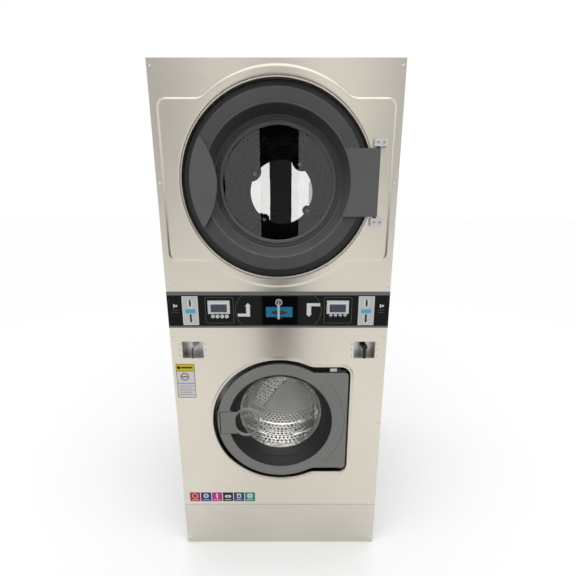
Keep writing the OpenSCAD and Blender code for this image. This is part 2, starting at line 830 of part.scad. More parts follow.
module water_valves() {
    color("royalblue") at_front() {
        difference() {
            union() {
                for (x = valve_xs) {
                    yrod([x, valve_z], inlet_r, 920, body_d + 22);
                    translate([x - 22, 880, valve_z - 22]) cube([44, 50, 44]);
                }
                translate([valve_xs[0], 895, valve_z - 12]) cube([valve_xs[1] - valve_xs[0], 24, 24]);
                yrod([washer_x, valve_z], fill_pipe_r, inlet_y, 900);
                translate([washer_x, inlet_y, valve_z]) sphere(r = fill_pipe_r);
                translate([washer_x, inlet_y, washer_z + tub_r + 20])
                    cylinder(r = fill_pipe_r, h = valve_z - washer_z - tub_r - 20);
            }
            for (x = valve_xs) yrod([x, valve_z], 8, 925, body_d + 23);
        }
    }
}

module washer_door_lock() {
    color("#303336") at_front()
        difference() {
            plate(-268, -229.5, washer_z - 37, washer_z + 37, 28, 30);
            plate(-251, -228, washer_z - 19, washer_z + 19, 27, 25);
        }
}

// ---------- Dryer door ----------

module dryer_door_ring() {
    color("#5a5a5c") at_front()
        turned([0, dryer_z], [[door_ring_r, ring_back], [door_ring_r, ring_front + 3],
            [door_ring_r - 3, ring_front], [cone_front_r, ring_front], [cone_back_r, cone_back],
            [inner_ring_r + 4.5, cone_back], [inner_ring_r + 4.5, cone_back + 4],
            [cone_back_r + 4, cone_back + 4], [cone_front_r + 3, ring_front + 4],
            [door_ring_r - 4, ring_front + 4], [door_ring_r - 4, ring_back]]);
}

module dryer_door_inner_ring() {
    color("#4c4c50") at_front()
        turned([0, dryer_z], [[inner_ring_r, cone_back - 2], [window_r, cone_back - 2],
            [window_r, cone_back + 7], [cone_back_r + 2, cone_back + 7], [cone_back_r + 2, cone_back + 4],
            [inner_ring_r, cone_back + 4]]);
}

module dryer_door_glass() {
    y = cone_back + 7;
    color("lightblue", 0.35) at_front()
        turned([0, dryer_z], [[cone_back_r, y], [window_r - 3, y], [window_r - 18, glass_back - 8],
            [0, glass_back - 4], [0, glass_back], [window_r - 16, glass_back - 4], [window_r + 1, y + 4],
            [cone_back_r, y + 4]]);
}

grip_front = -30;
grip_t = 13;
grip_arc_x = -463;
grip_arc_r = 253;

module dryer_door_handle() {
    color("#5e5e60") at_front() {
        intersection() {
            yrod([0, dryer_z], door_ring_r - 5, grip_front, grip_front + grip_t);
            yrod([grip_arc_x, dryer_z], grip_arc_r, grip_front - 1, grip_front + grip_t + 1);
        }
        difference() {
            intersection() {
                yrod([0, dryer_z], door_ring_r - 6, grip_front + 5, ring_front);
                yrod([grip_arc_x, dryer_z], grip_arc_r - 8, grip_front, 0);
            }
            yrod([0, dryer_z], door_ring_r - 30, grip_front, 0);
        }
    }
}

module dryer_hinge_cover() {
    color("#5f5f61") at_front()
        difference() {
            union() {
                plate(200, hinge_right, hinge_lo, hinge_hi, hinge_front, ring_front - hinge_front);
                difference() {
                    plate(200, hinge_right, hinge_lo, hinge_hi, hinge_front, 12);
                    yrod([0, dryer_z], door_ring_r + 0.5, hinge_front + 1, hinge_front + 13);
                }
            }
            yrod([0, dryer_z], cone_front_r - 2, hinge_front - 1, 0);
            for (z = [hinge_lo - 1, hinge_hi - 16])
                translate([dryer_axis[0], dryer_axis[1], z]) cylinder(r = hinge_pin_r + run_gap, h = 17);
        }
}

// ---------- Dryer drum and drive ----------

lifter_h = 66;
lifter_w = 84;
lifter_top = 14;
drum_lip_r = 298;

// Cross-section of a lifter that stands on radius r and tapers towards the drum's axis
module lifter_outline(r, w, h, top) polygon([[r, -w / 2], [r, w / 2], [r - h, top], [r - h, -top]]);

module dryer_drum() {
    color("silver") at_front()
        turned([0, dryer_z], [[drum_lip_r, 58], [dryer_drum_r, 58], [dryer_drum_r, dryer_drum_back],
            [dryer_shaft_r + eps, dryer_drum_back], [dryer_shaft_r + eps, dryer_drum_back - sheet],
            [dryer_drum_r - sheet, dryer_drum_back - sheet], [dryer_drum_r - sheet, 58 + sheet],
            [drum_lip_r, 58 + sheet]]);
}

module dryer_lifters() {
    r0 = dryer_drum_r - sheet - 2.6;
    color("silver") at_front()
        for (a = [0:90:270])
            translate([0, 0, dryer_z]) rotate([0, -(a + lifter_angle), 0])
                difference() {
                    slab(62, dryer_drum_back - 66) lifter_outline(r0, lifter_w, lifter_h, lifter_top);
                    slab(62 + sheet, dryer_drum_back)
                        lifter_outline(r0 - sheet, lifter_w - 4 * sheet, lifter_h - 2 * sheet,
                            lifter_top - sheet);
                }
}

notch_r = 26;

module dryer_drum_shaft() {
    y = dryer_drum_back - sheet;
    color("gainsboro") at_front() {
        difference() {
            yrod([0, dryer_z], hub_disc_r, y - 5, y);
            for (a = [0:90:270])
                translate([0, 0, dryer_z]) rotate([0, -(a + lifter_angle), 0])
                    yrod([hub_disc_r, 0], notch_r, y - 6, y + 1);
        }
        yrod([0, dryer_z], dryer_shaft_r, y - 1, rear_bulkhead_y + 100);
    }
}

module dryer_motor_shaft() {
    color("gray") at_front() {
        yrod(motor_c, motor_shaft_r, belt_y - 4, fan_c_y + fan_w - 10);
        yrod(motor_c, motor_pulley_r, belt_y - 1, belt_y + belt_w + 1);
        for (y = [belt_y - 4, belt_y + belt_w + 1]) yrod(motor_c, motor_pulley_r + 6, y, y + 3);
    }
}

blades = 24;

module blower_wheel() {
    color("gainsboro") at_front()
        difference() {
            union() {
                yrod(motor_c, fan_r, fan_c_y, fan_c_y + 3);
                yrod(motor_c, 16, fan_c_y, fan_c_y + 30);
                difference() {
                    yrod(motor_c, fan_r, fan_c_y + fan_w - 3, fan_c_y + fan_w);
                    yrod(motor_c, fan_r - 18, fan_c_y + fan_w - 4, fan_c_y + fan_w + 1);
                }
                for (i = [0:blades - 1])
                    translate([motor_c[0], 0, motor_c[1]]) rotate([0, i * 360 / blades, 0])
                        translate([fan_r - 17, fan_c_y + 1, -1]) cube([15, fan_w - 2, 2]);
            }
            yrod(motor_c, motor_shaft_r, fan_c_y - 1, fan_c_y + 31);
        }
}

// ---------- Washer door ----------

latch_axis = [-243, 2];
latch_pin_r = 2;
latch_z1 = 584;
latch_z2 = 683;
latch_gap = 3.5;

module washer_door_ring() {
    c = [washer_x, washer_z];
    color("#7d7d79") at_front() {
        difference() {
            for (z = [latch_z1 - latch_gap - 8, latch_z2 + latch_gap])
                translate([latch_axis[0] - 6, 0, z]) cube([12, 9, 8]);
            translate([latch_axis[0], latch_axis[1], latch_z1 - 12])
                cylinder(r = latch_pin_r + run_gap, h = latch_z2 - latch_z1 + 24);
        }
        difference() {
            union() {
                slab(door_front, 4) washer_door_outline(0);
                yrod(c, washer_ring_r - 1, door_front, door_back);
                turned(c, [[w_cone_front_r + 7, door_back - 1],
                    [w_cone_back_r + 4, w_cone_back + 3], [w_cone_back_r, w_cone_back + 3],
                    [w_cone_back_r, w_cone_back], [w_cone_front_r - 5, door_back - 2]]);
                for (z = [washer_z - door_half_h + 2, washer_z + door_half_h - 52]) {
                    translate([washer_axis[0], washer_axis[1], z]) cylinder(r = 8, h = 50);
                    translate([washer_axis[0] - 6, 0, z]) cube([12, washer_axis[1], 50]);
                }
            }
            turned(c, [[0, door_front - 1], [w_cone_front_r + 0.6, door_front - 1],
                [w_cone_back_r, w_cone_back], [w_cone_back_r, w_cone_back + 4], [0, w_cone_back + 4]]);
            turned(c, [[w_cone_front_r + 12, 1], [washer_ring_r - 5, 1], [washer_ring_r - 5, door_back + 1],
                [w_cone_front_r + 12, door_back + 1]]);
            plate(-251, -200, latch_z1 - latch_gap, latch_z2 + latch_gap, door_front - 1, 9);
            for (z = [washer_z - door_half_h - 1, washer_z + door_half_h - 53])
                translate([washer_axis[0], washer_axis[1], z]) cylinder(r = washer_pin_r + run_gap, h = 54);
            translate([latch_axis[0], latch_axis[1], latch_z1 - 12])
                cylinder(r = latch_pin_r + run_gap, h = latch_z2 - latch_z1 + 24);
        }
    }
}

module washer_door_glass() {
    y = w_cone_back + 3;
    color("lightblue", 0.35) at_front()
        turned([washer_x, washer_z], [[183, y], [172, y], [148, y + 70], [0, y + 78], [0, y + 83],
            [151, y + 75], [176, y + 5], [183, y + 5]]);
}

loop_w = 110;
loop_h = 128;
loop_bar = 7;

module washer_door_handle() {
    color("#7a7a76") at_front() {
        difference() {
            union() {
                plate(-246, handle_c[0] - loop_w / 2 + 14, latch_z1, latch_z2, -6, 8);
                slab(-8, 9) translate(handle_c) upright_slot(loop_w, loop_h);
            }
            slab(-9, 12) translate(handle_c) upright_slot(loop_w - 2 * loop_bar, loop_h - 2 * loop_bar);
        }
        plate(-246, -241, 626, 648, 0, 38);
        translate([latch_axis[0], latch_axis[1], latch_z1 - 10])
            cylinder(r = latch_pin_r, h = latch_z2 - latch_z1 + 20);
    }
}

// ---------- Washer drum and drive ----------

w_lip_r = 205;
w_lifter_h = 88;
w_lifter_w = 120;

module washer_drum() {
    c = [washer_x, washer_z];
    r0 = washer_drum_r - sheet;
    color("silver") at_front() {
        turned(c, [[w_lip_r - sheet, 84], [w_lip_r, 84], [w_lip_r, drum_front],
            [washer_drum_r, drum_front], [washer_drum_r, drum_back], [washer_shaft_r + eps, drum_back],
            [washer_shaft_r + eps, drum_back - sheet], [r0, drum_back - sheet],
            [r0, drum_front + sheet], [w_lip_r - sheet, drum_front + sheet]]);
        for (a = [0:120:240])
            translate([washer_x, 0, washer_z]) rotate([0, -(a + 90), 0])
                difference() {
                    slab(drum_front + eps, drum_back - drum_front - 2 * eps)
                        lifter_outline(r0 - 6, w_lifter_w, w_lifter_h - 6, 16);
                    slab(drum_front + 2 * sheet, drum_back - drum_front - 4 * sheet)
                        lifter_outline(r0 - 8, w_lifter_w - 8, w_lifter_h - 10, 14);
                    for (y = [160:90:430])
                        translate([r0 - w_lifter_h - 1, y, 0]) rotate([0, 90, 0]) cylinder(r = 5, h = 10);
                }
    }
}

module washer_drum_shaft() {
    c = [washer_x, washer_z];
    color("gray") at_front() {
        yrod(c, 62, drum_back, drum_back + 20);
        for (a = [0:120:240])
            translate([washer_x, 0, washer_z]) rotate([0, a + 45, 0])
                translate([-18, drum_back, 40]) cube([36, 16, 250]);
        yrod(c, washer_shaft_r, drum_back, pulley_y + pulley_w + 18);
    }
}

module washer_drum_pulley() {
    c = [washer_x, washer_z];
    color("darkgray") at_front()
        difference() {
            union() {
                yrod(c, drum_pulley_r, pulley_y, pulley_y + pulley_w);
                for (y = [pulley_y - 4, pulley_y + pulley_w]) yrod(c, drum_pulley_r + 6, y, y + 4);
            }
            yrod(c, drum_pulley_r - 12, pulley_y - 5, pulley_y + 5);
            yrod(c, drum_pulley_r - 12, pulley_y + 13, pulley_y + pulley_w + 5);
            for (a = [0:60:300])
                yrod([c[0] + 85 * cos(a), c[1] + 85 * sin(a)], 32, pulley_y, pulley_y + pulley_w);
            yrod(c, washer_shaft_r, pulley_y - 5, pulley_y + pulley_w + 5);
        }
}

module washer_motor_pulley() {
    color("gray") at_front() {
        yrod(washer_motor_c, 9, wm_y1 + 55, pulley_y + pulley_w + 8);
        yrod(washer_motor_c, washer_pulley_r, pulley_y - 2, pulley_y + pulley_w + 2);
        for (y = [pulley_y - 5, pulley_y + pulley_w + 2]) yrod(washer_motor_c, washer_pulley_r + 6, y, y + 3);
    }
}

base_frame();
left_side_panel();
right_side_panel();
top_cover();
rear_panels();
middle_deck();
dryer_front_panel();
washer_front_panel();
plinth_panel();
fascia_trims();
control_fascia();
display_modules();
coin_plates();
cash_box_pockets();
panel_screws();
dryer_front_bulkhead();
dryer_rear_bulkhead();
dryer_motor();
dryer_belt();
blower_housing();
exhaust_duct();
heater_box();
lint_duct();
door_hinge_brackets();
washer_tub();
door_gasket();
washer_bearing_housing();
washer_motor();
washer_belt();
drain_valve();
water_valves();
washer_door_lock();
dryer_door_ring();
dryer_door_inner_ring();
dryer_door_glass();
dryer_door_handle();
dryer_hinge_cover();
dryer_drum();
dryer_lifters();
dryer_drum_shaft();
dryer_motor_shaft();
blower_wheel();
washer_door_ring();
washer_door_glass();
washer_door_handle();
washer_drum();
washer_drum_shaft();
washer_drum_pulley();
washer_motor_pulley();
round_button_1();
round_button_2();
round_button_3();
round_button_4();
oval_button_1();
oval_button_2();
oval_button_3();
oval_button_4();
fascia_lock();
left_cash_lock();
right_cash_lock();
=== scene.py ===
"""Looks of the stacked tumble dryer and washer: materials, sheet metal, doors, drums and labels."""
import math

import bpy
import bmesh
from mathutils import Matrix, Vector
from mathutils.geometry import delaunay_2d_cdt


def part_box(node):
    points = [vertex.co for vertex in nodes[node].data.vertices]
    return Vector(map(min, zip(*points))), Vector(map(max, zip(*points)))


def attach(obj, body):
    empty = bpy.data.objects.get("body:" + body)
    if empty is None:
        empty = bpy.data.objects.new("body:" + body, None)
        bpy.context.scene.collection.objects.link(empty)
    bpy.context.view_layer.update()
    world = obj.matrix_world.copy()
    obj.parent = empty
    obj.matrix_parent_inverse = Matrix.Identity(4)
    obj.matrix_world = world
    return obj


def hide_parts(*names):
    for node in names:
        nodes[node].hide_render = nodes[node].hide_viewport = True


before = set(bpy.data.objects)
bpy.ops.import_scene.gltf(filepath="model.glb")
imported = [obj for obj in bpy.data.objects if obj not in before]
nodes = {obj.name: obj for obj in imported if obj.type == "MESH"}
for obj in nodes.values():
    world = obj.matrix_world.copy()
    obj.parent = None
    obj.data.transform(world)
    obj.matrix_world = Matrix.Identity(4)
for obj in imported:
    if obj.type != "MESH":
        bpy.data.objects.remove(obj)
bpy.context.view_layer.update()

MM = 0.001
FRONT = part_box("plinth_panel")[0].y / MM
TAU = 2 * math.pi


def middle(node):
    """Middle of a CAD node's box, in millimetres, with y measured from the front plane."""
    lo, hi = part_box(node)
    c = (lo + hi) / 2 / MM
    return c.x, c.y - FRONT, c.z


def spans(node):
    """Lowest and highest corner of a CAD node, in millimetres, with y measured from the front plane."""
    lo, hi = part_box(node)
    back = Vector((0, FRONT, 0))
    return lo / MM - back, hi / MM - back


def place(x, y, z):
    """A point given in millimetres, with y measured back from the front plane, in metres."""
    return Vector((x * MM, (y + FRONT) * MM, z * MM))


# ---------- Materials ----------

def new_material(name, **sockets):
    """A material with one Principled shader, its constants set on the shader's own sockets."""
    material = bpy.data.materials.new(name)
    material.use_nodes = True
    shader = material.node_tree.nodes["Principled BSDF"]
    for socket, value in sockets.items():
        shader.inputs[socket.replace("_", " ")].default_value = value
    return material, material.node_tree, shader


def grey(value, tint=(1, 1, 1)):
    """A grey of one brightness, warmed or cooled by a tint."""
    return (value * tint[0], value * tint[1], value * tint[2], 1)


def greys(low, high, tint=(1, 1, 1)):
    """A material's darkest and lightest grey."""
    return grey(low, tint), grey(high, tint)


def noise(tree, scale, stretch=(1, 1, 1), detail=3):
    """Noise in the object's own space, stretched along the axes."""
    coords = tree.nodes.new("ShaderNodeTexCoord")
    mapping = tree.nodes.new("ShaderNodeMapping")
    mapping.inputs["Scale"].default_value = stretch
    texture = tree.nodes.new("ShaderNodeTexNoise")
    texture.inputs["Scale"].default_value = scale
    texture.inputs["Detail"].default_value = detail
    tree.links.new(coords.outputs["Object"], mapping.inputs["Vector"])
    tree.links.new(mapping.outputs["Vector"], texture.inputs["Vector"])
    return texture.outputs["Fac"]


def ramp(tree, source, low, high, start=0.3, end=0.7):
    """Maps a texture's values from start to end onto two colours."""
    node = tree.nodes.new("ShaderNodeValToRGB")
    node.color_ramp.elements[0].position = start
    node.color_ramp.elements[0].color = low
    node.color_ramp.elements[1].position = end
    node.color_ramp.elements[1].color = high
    tree.links.new(source, node.inputs["Fac"])
    return node.outputs["Color"]


def to_range(tree, source, low, high):
    """Spreads a texture's values from 0 to 1 over a range of numbers."""
    node = tree.nodes.new("ShaderNodeMapRange")
    node.inputs["To Min"].default_value = low
    node.inputs["To Max"].default_value = high
    tree.links.new(source, node.inputs["Value"])
    return node.outputs["Result"]


def bump(tree, shader, height, strength, distance):
    """Relief from a texture, as deep as distance in metres."""
    node = tree.nodes.new("ShaderNodeBump")
    node.inputs["Strength"].default_value = strength
    node.inputs["Distance"].default_value = distance
    tree.links.new(height, node.inputs["Height"])
    tree.links.new(node.outputs["Normal"], shader.inputs["Normal"])


# Share of a full turn that points the anisotropy across the brushing
ACROSS_THE_GRAIN = 0.25
# How much of the brushed tone comes from the streaks; the soft blotches give the rest
STREAK_SHARE = 0.55


def brushed(name, low, high, roughness, grain=(2, 40, 900), anisotropic=0.0, strength=0.06):
    """Brushed sheet metal: fine streaks that smear a reflection across them, and soft blotches in tone."""
    material, tree, shader = new_material(name, Metallic=1.0, Anisotropic=anisotropic,
                                          Anisotropic_Rotation=ACROSS_THE_GRAIN)
    streaks = noise(tree, 3, grain, 4)
    cloud = noise(tree, 3.5, (1, 1, 1), 2)
    mix = tree.nodes.new("ShaderNodeMath")
    mix.operation = "MULTIPLY_ADD"
    mix.inputs[1].default_value = STREAK_SHARE
    tree.links.new(streaks, mix.inputs[0])
    half = tree.nodes.new("ShaderNodeMath")
    half.operation = "MULTIPLY"
    half.inputs[1].default_value = 1 - STREAK_SHARE
    tree.links.new(cloud, half.inputs[0])
    tree.links.new(half.outputs[0], mix.inputs[2])
    tree.links.new(ramp(tree, mix.outputs[0], low, high), shader.inputs["Base Color"])
    tree.links.new(to_range(tree, streaks, roughness * 0.85, roughness * 1.2), shader.inputs["Roughness"])
    bump(tree, shader, streaks, strength, 0.0002)
    return material


def moulded(name, low, high, roughness, grain_scale=900, strength=0.12, specular=0.5, tone_scale=6):
    """Moulded plastic or powder paint: a fine pebble grain and slight changes of tone."""
    material, tree, shader = new_material(name, Specular_IOR_Level=specular)
    grain = noise(tree, grain_scale, (1, 1, 1), 2)
    tone = noise(tree, tone_scale, (1, 1, 1), 4)
    tree.links.new(ramp(tree, tone, low, high), shader.inputs["Base Color"])
    tree.links.new(to_range(tree, grain, roughness * 0.88, roughness * 1.12), shader.inputs["Roughness"])
    bump(tree, shader, grain, strength, 0.0003)
    return material


def ink(name, colour, roughness=0.4, spread=0.04, specular=0.3):
    """A printed or enamelled colour with a faint mottle."""
    material, tree, shader = new_material(name, Specular_IOR_Level=specular)
    speck = noise(tree, 420, (1, 1, 1), 2)
    darker = tuple(c * (1 - spread) for c in colour[:3]) + (1,)
    tree.links.new(ramp(tree, speck, darker, colour), shader.inputs["Base Color"])
    tree.links.new(to_range(tree, speck, roughness * 0.9, roughness * 1.1), shader.inputs["Roughness"])
    return material


def polished(name, low, high):
    """Mirror-bright steel: perfectly smooth, with faint blotches in tone."""
    material, tree, shader = new_material(name, Metallic=1.0, Roughness=0.0)
    tree.links.new(ramp(tree, noise(tree, 12), low, high), shader.inputs["Base Color"])
    return material


def glazing(name, tint, spread=0.03):
    """Clear, smooth door glass with faint wiping marks in its tint."""
    material, tree, shader = new_material(name, Transmission_Weight=1.0, IOR=1.45, Roughness=0.0)
    marks = noise(tree, 9, (1, 1, 3), 4)
    darker = tuple(c * (1 - spread) for c in tint[:3]) + (1,)
    tree.links.new(ramp(tree, marks, darker, tint), shader.inputs["Base Color"])
    return material


STEEL = brushed("stainless_front", *greys(0.64, 0.72, (1, 0.94, 0.82)), 0.30, anisotropic=0.6)
# Painted shade: the plinth's steel is a little darker than the front's, for the plinth's darker look low
# down by the floor
PLINTH_SHADED_STEEL = brushed("stainless_plinth", *greys(0.60, 0.66, (1, 0.95, 0.86)), 0.34)
SIDE_PAINT = moulded("cabinet_paint", *greys(0.52, 0.57, (1, 0.99, 0.96)), 0.42, 500, 0.08)
ZINC = brushed("galvanised", *greys(0.45, 0.66), 0.42, (3, 3, 3), strength=0.05)
DARK_PAINT = moulded("frame_paint", *greys(0.05, 0.07), 0.5, 400)
TRIM = moulded("trim_grey", *greys(0.15, 0.18), 0.32, 700, 0.05)
FASCIA = moulded("fascia_black", *greys(0.004, 0.006), 0.05, 300, 0.004, specular=0.12)
WHITE_PLASTIC = moulded("display_white", *greys(0.84, 0.90), 0.35, 800, 0.04)
COIN_STEEL = brushed("coin_steel", *greys(0.42, 0.56), 0.34, (30, 30, 600))
POCKET_STEEL = brushed("pocket_steel", *greys(0.46, 0.58, (1, 0.98, 0.94)), 0.3, (2, 40, 600))
BRIGHT = moulded("screw_zinc", *greys(0.86, 0.94), 0.22, 600, 0.02)
BLACK_PAINT = moulded("bulkhead_black", *greys(0.012, 0.02), 0.35, 500, 0.06)
MOTOR_PAINT = moulded("motor_blue", (0.03, 0.08, 0.14, 1), (0.045, 0.11, 0.18, 1), 0.4, 500)
BELT = moulded("belt_rubber", *greys(0.012, 0.02), 0.7, 900, 0.3)
BLOCK = moulded("hinge_steel", *greys(0.72, 0.80), 0.35, 600, 0.05)
TUB_STEEL = brushed("tub_steel", *greys(0.35, 0.5), 0.45, (3, 30, 3))
GASKET = moulded("seal_rubber", *greys(0.018, 0.028), 0.42, 700, 0.15)
PIPE = moulded("plumbing_grey", *greys(0.05, 0.07), 0.45, 600)
VALVE = moulded("valve_blue", (0.02, 0.06, 0.25, 1), (0.03, 0.08, 0.3, 1), 0.35, 600)
LOCK_BOX = moulded("lock_housing", *greys(0.02, 0.03), 0.4, 600)
DOOR_GREY = moulded("dryer_door_grey", *greys(0.086, 0.100, (1, 1, 1.03)), 0.42, 1400, 0.16,
                    specular=0.2)
HANDLE_GREY = moulded("dryer_handle_grey", *greys(0.106, 0.122, (1, 1, 1.02)), 0.42, 1400, 0.16)
# Partly painted highlight: a lighter grey than the door's own stands for the bright line along the front
# edge of the door's cone; its gloss also catches the lamps
DOOR_HIGHLIGHT_GLOSS = moulded("dryer_door_edge", *greys(0.13, 0.15), 0.16, 600, 0.02, specular=0.7)
DOOR_DARK = moulded("dryer_door_dark", *greys(0.088, 0.104, (1, 1, 1.02)), 0.36, 1400, 0.12)
WASHER_GREY = moulded("washer_door_grey", *greys(0.225, 0.25, (1, 1, 0.95)), 0.40, 1400, 0.14)
CONE_DARK = moulded("washer_cone_dark", *greys(0.02, 0.028), 0.42, 1400, 0.10, specular=0.15)
DRUM_STEEL = brushed("drum_steel", *greys(0.86, 0.95, (1, 0.99, 0.96)), 0.24, (6, 60, 6))
# Painted shade: the dryer drum's steel, its lifters' too, is given a near-black colour for the dark, unlit
# inside of the drum
DRYER_SHADED_STEEL = brushed("dryer_drum_steel", *greys(0.022, 0.04), 0.5, (6, 60, 6), strength=0.04)
SMOOTH_STEEL = brushed("smooth_drum_steel", *greys(0.38, 0.48, (1, 0.98, 0.94)), 0.3, (4, 30, 4))
HUB_STEEL = polished("hub_steel", *greys(0.90, 0.95))
CAST = brushed("cast_metal", *greys(0.3, 0.45), 0.5, (6, 6, 6), strength=0.2)
NICKEL = moulded("lock_metal", *greys(0.60, 0.70), 0.2, 500, 0.03)
GLASS = glazing("door_glass", (0.975, 0.975, 0.965, 1))
# Painted shade: a near-black colour for holes and recesses, drawn as flat faces where the holes would be
HOLE_SHADE = moulded("recess_black", *greys(0.004, 0.008), 0.6, 500)
LCD = moulded("lcd_window", (0.060, 0.075, 0.115, 1), (0.070, 0.085, 0.13, 1), 0.12, 400, 0.01, specular=0.4)
LCD_DIGIT = ink("lcd_digit", (0.045, 0.058, 0.09, 1), 0.3)
PRINT_WHITE = ink("print_white", (0.84, 0.86, 0.85, 1))
PRINT_GREY = ink("print_grey", (0.09, 0.09, 0.09, 1), 0.25)
PRINT_OLIVE = ink("print_olive", (0.085, 0.09, 0.07, 1), 0.25)
PRINT_BROWN = ink("print_brown", (0.06, 0.06, 0.045, 1), 0.25)
PRINT_PANEL = ink("print_panel", grey(0.004), 0.05, specular=0.15)
PRINT_BLUE = ink("print_blue", (0.025, 0.20, 0.40, 1))
PRINT_CYAN = ink("print_cyan", (0.12, 0.48, 0.72, 1))
PRINT_BLACK = ink("print_black", (0.012, 0.012, 0.013, 1))
BUTTON_WHITE = moulded("button_white", (0.78, 0.83, 0.79, 1), (0.84, 0.88, 0.85, 1), 0.3, 900, 0.04)
LABEL_YELLOW = ink("label_yellow", (0.80, 0.66, 0.02, 1))
LABEL_WHITE = ink("label_white", (0.86, 0.86, 0.85, 1))
ICON_RED = ink("icon_red", (0.55, 0.03, 0.08, 1))
ICON_NAVY = ink("icon_navy", (0.02, 0.05, 0.22, 1))
ICON_PINK = ink("icon_pink", (0.62, 0.05, 0.34, 1))
ICON_BLACK = ink("icon_black", (0.018, 0.018, 0.022, 1))
ICON_GREEN = ink("icon_green", (0.03, 0.32, 0.20, 1))


# The record's slot of each material that isn't itself named after its slot
SLOT_MATERIALS = {
    "drum_steel": "dryer_drum_steel smooth_drum_steel hub_steel",
    "bulkhead_black": "washer_cone_dark recess_black",
    "display_white": "print_white label_white",
    "valve_blue": "print_blue print_cyan",
    "trim_grey": "print_grey print_olive label_yellow icon_red icon_navy icon_pink icon_black icon_green",
    "fascia_black": "print_panel print_brown print_black lcd_window lcd_digit",
    "dryer_door_grey": "dryer_door_edge",
    "screw_zinc": "cast_metal",
}
SLOT_OF = {material: slot for slot, materials in SLOT_MATERIALS.items() for material in materials.split()}

# ---------- Mesh helpers, all in millimetres with y measured back from the front plane ----------

def finish_mesh(name, mesh, material, body, slot=None, smooth=35, bevel=0.0, segments=2):
    """Turns a mesh into a piece that rides on a body, shaded smooth up to an angle, its edges rounded. It
    works out a slot of the record, its material's own unless another is given, but does not assign it."""
    piece = bpy.data.objects.new(name, mesh)
    bpy.context.scene.collection.objects.link(piece)
    mesh.materials.append(material)
    mesh.polygons.foreach_set("use_smooth", [True] * len(mesh.polygons))
    mesh.set_sharp_from_angle(angle=math.radians(smooth))
    if bevel:
        round_edges(piece, bevel, segments)
    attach(piece, body)
    if slot is None:
        # Blender adds a number to a name that a CAD material has already
        own_name = material.name.split(".")[0]
        slot = SLOT_OF.get(own_name, own_name)
    return piece


def round_edges(piece, width, segments=2, angle=30):
    """Rounds a piece's sharp edges by a width in millimetres, without changing its mesh."""
    bevel = piece.modifiers.new("rounded edges", "BEVEL")
    bevel.width = width * MM
    bevel.segments = segments
    bevel.limit_method = "ANGLE"
    bevel.angle_limit = math.radians(angle)
    bevel.harden_normals = True


def thicken(bm, thick):
    """Gives a sheet its thickness, towards the back of its faces."""
    bmesh.ops.solidify(bm, geom=bm.faces[:], thickness=thick * MM)
    bmesh.ops.recalc_face_normals(bm, faces=bm.faces)


def build(name, points, faces, material, body, thick=0, **look):
    """A piece from points in millimetres and faces, given a thickness if it is a sheet."""
    mesh = bpy.data.meshes.new(name)
    mesh.from_pydata([place(*p) for p in points], [], faces)
    bm = bmesh.new()
    bm.from_mesh(mesh)
    bmesh.ops.recalc_face_normals(bm, faces=bm.faces)
    if thick:
        thicken(bm, thick)
    bm.to_mesh(mesh)
    bm.free()
    return finish_mesh(name, mesh, material, body, **look)


# How far beyond a round its guard point lies, as a share of the round
FLAT_GUARD = 1.4


def fillet(points, radius, steps=3):
    """Rounds the corners of a closed outline, each by at most a third of its shorter side. A point beyond
    each round keeps the sides flat."""
    out = []
    count = len(points)
    for i, corner in enumerate(points):
        here = Vector(corner)
        before = Vector(points[i - 1]) - here
        after = Vector(points[(i + 1) % count]) - here
        if here.x < 1e-6:
            out.append(tuple(here))
            continue
        cut = min(radius, before.length / 3, after.length / 3)
        start = here + before.normalized() * cut
        end = here + after.normalized() * cut
        out.append(tuple(here + before.normalized() * cut * FLAT_GUARD))
        for k in range(steps + 1):
            t = k / steps
            point = start * (1 - t) ** 2 + here * 2 * t * (1 - t) + end * t ** 2
            out.append(tuple(point))
        out.append(tuple(here + after.normalized() * cut * FLAT_GUARD))
    return out


def polar(centre, radius, angle):
    """The point (x, z) at a radius from a centre and an angle in radians."""
    return centre[0] + radius * math.cos(angle), centre[1] + radius * math.sin(angle)


def turned_point(centre, radius, y, angle):
    """The point (x, y, z) of a turned solid."""
    x, z = polar(centre, radius, angle)
    return x, y, z


def turned_part(name, centre, profile, start, end, material, body, steps=120, **look):
    """Part of a turned solid, from one angle to another in degrees."""
    points, faces = [], []
    count = len(profile)
    for k in range(steps + 1):
        angle = math.radians(start + (end - start) * k / steps)
        points += [turned_point(centre, r, y, angle) for r, y in profile]
    for k in range(steps):
        for i in range(count):
            a, b = k * count + i, k * count + (i + 1) % count
            faces.append((a, b, b + count, a + count))
    faces += [tuple(range(count)), tuple(range(steps * count, (steps + 1) * count))]
    return build(name, points, faces, material, body, **look)


def lathe(name, centre, profile, material, body, steps=160, soft=0.8, **look):
    """A turned solid along Y at (x, z), from a closed outline of (radius, y)."""
    outline = fillet(profile, soft) if soft else profile
    points = []
    rings = []
    for radius, y in outline:
        if radius < 1e-6:
            rings.append([len(points)])
            points.append((centre[0], y, centre[1]))
            continue
        rings.append(list(range(len(points), len(points) + steps)))
        points += [turned_point(centre, radius, y, TAU * k / steps) for k in range(steps)]
    faces = []
    for i, ring in enumerate(rings):
        other = rings[(i + 1) % len(rings)]
        if len(ring) == 1 and len(other) == 1:
            continue
        for k in range(steps):
            j = (k + 1) % steps
            if len(ring) == 1:
                faces.append((ring[0], other[k], other[j]))
            elif len(other) == 1:
                faces.append((ring[k], other[0], ring[j]))
            else:
                faces.append((ring[k], other[k], other[j], ring[j]))
    return build(name, points, faces, material, body, **look)


def arc(cx, cz, radius, start, end, count):
    """Points from one angle to another, in degrees."""
    angles = [math.radians(start + (end - start) * i / count) for i in range(count + 1)]
    return [polar((cx, cz), radius, angle) for angle in angles]


def circle(cx, cz, radius, count=160):
    """Points of a whole circle."""
    return arc(cx, cz, radius, 0, 360 * (count - 1) / count, count - 1)


